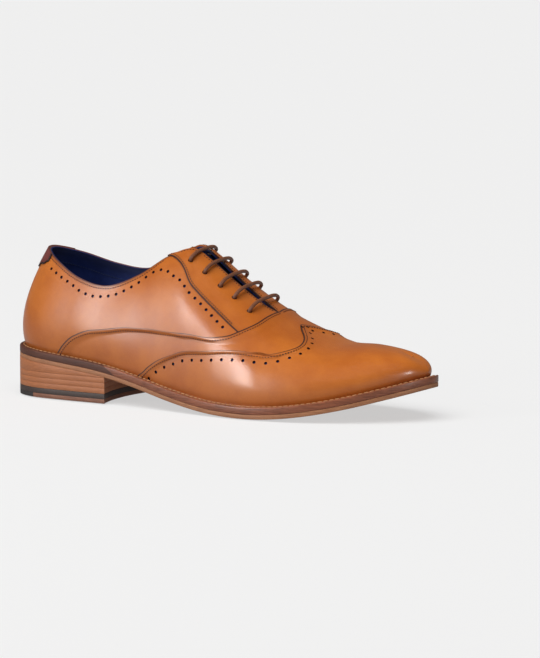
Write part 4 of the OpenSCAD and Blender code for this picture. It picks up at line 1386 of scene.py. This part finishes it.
def skiveStation(w, z, sign):
    # station where the outline meets the slanted joint at this width and height
    t = (z - last["outsole"]) / last["welt"]
    x = sole["skiveBottom"] + (sole["skiveTop"] - sole["skiveBottom"]) * t
    stations = np.linspace(2, 6, 160)
    result = np.zeros(len(w))
    for value in np.unique(np.round(w, 4)):
        pick = np.abs(w - value) < 1e-3
        xs = outlinePoint(sign * stations, np.full(160, value))[:, 0]
        result[pick] = np.interp(x[pick], xs, stations)
    return result


def weltProfile(corner, lip=0.0):
    low = last["outsole"] + 0.03
    high = soleThick
    inner = -last["weltFront"] - 1.6
    return ([(inner - 5, low), (-1.0, low)] + cornerArc(-0.45, low + 0.45, 0.45, -90, 90, 3)
            + cornerArc(-corner, high - corner + lip, corner, 0, 90, 5)
            + [(-1.7, high + lip * 0.7), (-2.1, high - sole["groove"] * 0.8), (-2.7, high - sole["groove"]),
               (-3.3, high - sole["groove"] * 0.8), (-3.7, high), (inner, high), (inner - 5, high)])


def makeWelt():
    def front(w, z):
        a = skiveStation(w, z, -1)
        b = skiveStation(w, z, 1)
        return -a, -2 * toe + b

    def back(w, z):
        return -skiveStation(w, z, -1), skiveStation(w, z, 1)

    makeRing("welt_strip", weltProfile(sole["corner"]), front, ["welt"], weltLeather)
    makeRing("heel_rand_strip", weltProfile(sole["randCorner"], sole["randLip"]), back, ["heel_rand"],
             randLeather, 220)


def makeSlab(name, rows, nodes, material, cols=200):
    # rows of (share from the middle line to the outline, width beyond it, height)
    rows = np.array(rows)
    piece, a, b = newGrid(2 * cols, len(rows) - 1)
    row = np.round(b * (len(rows) - 1)).astype(int)
    share, w, z = rows[row, 0], rows[row, 1], rows[row, 2]
    t = 2 * a
    s = np.where(t < 1, -toe * easedEnds(t), toe * (1 - easedEnds(t - 1)))
    p = outlinePoint(s, w)
    q = (outlinePoint(np.abs(s), np.full(len(s), -8.0)) + outlinePoint(-np.abs(s), np.full(len(s), -8.0))) / 2
    q[:, 0] = np.clip(q[:, 0], 14, 285)
    p = mix(q, p, share)
    setPoints(piece, place(np.column_stack([p, underZ(p[:, 0]) + z])))
    storeWearAndShade(piece, np.full(len(p), uncut), np.full(len(p), uncut))
    closeSolid(piece)
    finishMesh(name, "shoe", nodes, material, 40)


def easedEnds(t):
    # steps shorter at the heel's back and at the toe, where the outline turns
    t = np.clip(t, 0, 1)
    return 0.5 * t + 0.5 * (1 - np.cos(math.pi * t)) / 2


def slabRows(w, low, high, corner):
    inner = [(t, w, low) for t in (0, 0.25, 0.5, 0.75, 0.92)]
    lowArc = [(1, *p) for p in cornerArc(w - corner, low + corner, corner, -90, 90, 3)]
    highArc = [(1, *p) for p in cornerArc(w - corner, high - corner, corner, 0, 90, 3)]
    return inner + lowArc + highArc + [(t, w, high) for t in (0.92, 0.75, 0.5, 0.25, 0)]


def makeSole():
    makeSlab("outsole_leather", slabRows(-0.1, 0.0, last["outsole"], 0.4), ["outsole"], soleLeather)
    low = sole["insoleHeight"] + sole["insole"] + 0.05
    makeSlab("sock_liner_leather", slabRows(-7.6, low, low + sole["sock"], 0.25), ["sock_liner"], navyLining)


def heelLoop(count=260, breast=40):
    # plan of the heel, from the lateral breast corner round the back to the medial one
    stations = np.linspace(0, 6, 600)
    centre = heel["length"] + heel["breastCentre"]
    ends = []
    for sign in (-1, 1):
        p = outlinePoint(sign * stations, np.zeros(600))
        off = np.hypot(p[:, 0] - centre, p[:, 1]) - heel["breastRadius"]
        ends.append(np.interp(0, -off, stations))
    s = np.linspace(-ends[0], ends[1], count)
    p = outlinePoint(s, np.zeros(count))
    a0 = math.atan2(p[-1, 1], p[-1, 0] - centre) % math.tau
    a1 = math.atan2(p[0, 1], p[0, 0] - centre) % math.tau
    angle = np.linspace(a0, a1, breast + 1)[1:-1]
    arc = heel["breastRadius"] * np.column_stack([np.cos(angle), np.sin(angle)]) + (centre, 0)
    return np.vstack([p, arc])


def clipLoop(loop, x, keepFront):
    # cuts the plan along a line across the heel
    points = []
    n = len(loop)
    for i in range(n):
        p, q = loop[i], loop[(i + 1) % n]
        inside = (p[0] > x) == keepFront
        other = (q[0] > x) == keepFront
        if inside:
            points.append(p)
        if inside != other:
            t = (x - p[0]) / (q[0] - p[0])
            points.append(p + (q - p) * t)
    return np.array(points)


def makeHeelLayer(name, node, loop, low, high, material):
    # low and high: heights, or None where the layer meets the outsole
    n = len(loop)
    ahead = np.roll(loop, -1, axis=0) - np.roll(loop, 1, axis=0)
    out = unit(np.column_stack([ahead[:, 1], -ahead[:, 0]]))
    area = np.sum(loop[:, 0] * np.roll(loop[:, 1], -1) - np.roll(loop[:, 0], -1) * loop[:, 1])
    out = out if area > 0 else -out
    centre = loop.mean(axis=0)
    r = heel["round"]
    # share from the centre to the edge, width beyond the edge, share of the height, and height beyond that
    rows = [(0, 0, 0, 0), (0.5, 0, 0, 0), (1, -r, 0, 0), (1, -0.3 * r, 0, 0.3 * r), (1, 0, 0, r),
            (1, 0, 1, -r), (1, -0.3 * r, 1, -0.3 * r), (1, -r, 1, 0), (0.75, 0, 1, 0), (0.5, 0, 1, 0),
            (0.25, 0, 1, 0), (0, 0, 1, 0)]
    rows = np.array(rows)
    piece, a, b = newGrid(n, len(rows) - 1)
    i = np.round(a * n).astype(int) % n
    row = rows[np.round(b * (len(rows) - 1)).astype(int)]
    edge = loop[i] + out[i] * row[:, 1:2]
    p = mix(np.broadcast_to(centre, (len(i), 2)), edge, row[:, 0])
    top = underZ(p[:, 0]) if high is None else np.full(len(i), high)
    z = low + (top - low) * row[:, 2] + row[:, 3]
    setPoints(piece, place(np.column_stack([p, z])))
    closeSolid(piece)
    finishMesh(name, "shoe", [node], material, 30)


def makeHeel():
    loop = heelLoop()
    z = heel["topPiece"] + heel["rubber"]
    makeHeelLayer("top_piece_front", "top_piece_leather", clipLoop(loop, heel["corner"], True), 0.1,
                  heel["topPiece"], topPieceLeather)
    makeHeelLayer("top_piece_corner", "top_piece_rubber", clipLoop(loop, heel["corner"], False), 0.1,
                  heel["topPiece"], toughRubber)
    makeHeelLayer("rubber_layer", "heel_rubber", loop, heel["topPiece"], z, heelRubber)
    for i in range(3):
        makeHeelLayer(f"stacked_lift_{i + 1}", f"heel_lift_{i + 1}", loop, z, z + heel["lift"], liftLeather)
        z += heel["lift"]
    makeHeelLayer("stacked_wedge", "heel_wedge", loop, z, None, liftLeather)


def stitchWelt():
    u = np.linspace(0, 2 * toe, 900)
    s = np.where(u > toe, u - 2 * toe, u)
    p = outlinePoint(s, np.full(900, -sole["weltThreadInset"]))
    points = np.column_stack([p, underZ(p[:, 0]) + soleThick - sole["groove"] + sole["weltThreadLift"]])
    points, _ = spreadEvenly(points, sole["weltPitch"])
    out = np.broadcast_to(np.array([0, 0, 1.0]), points.shape)
    makeStitches("welt_stitches", [(points, out)], goldThread, width=sole["weltThread"], gapShare=0.16)


makeWelt()
makeSole()
makeHeel()
stitchWelt()
print("sole and heel ready")

inside = {
    "heel_counter": feltBoard, "toe_puff": feltBoard, "insole_board": boardStuff, "cork_filler": corkStuff,
    "shank": steelStuff, "heel_nails": steelStuff, "top_piece_pins": brassStuff,
}
for node, material in inside.items():
    thing = bpy.data.objects[node]
    thing.data.materials.clear()
    thing.data.materials.append(material)
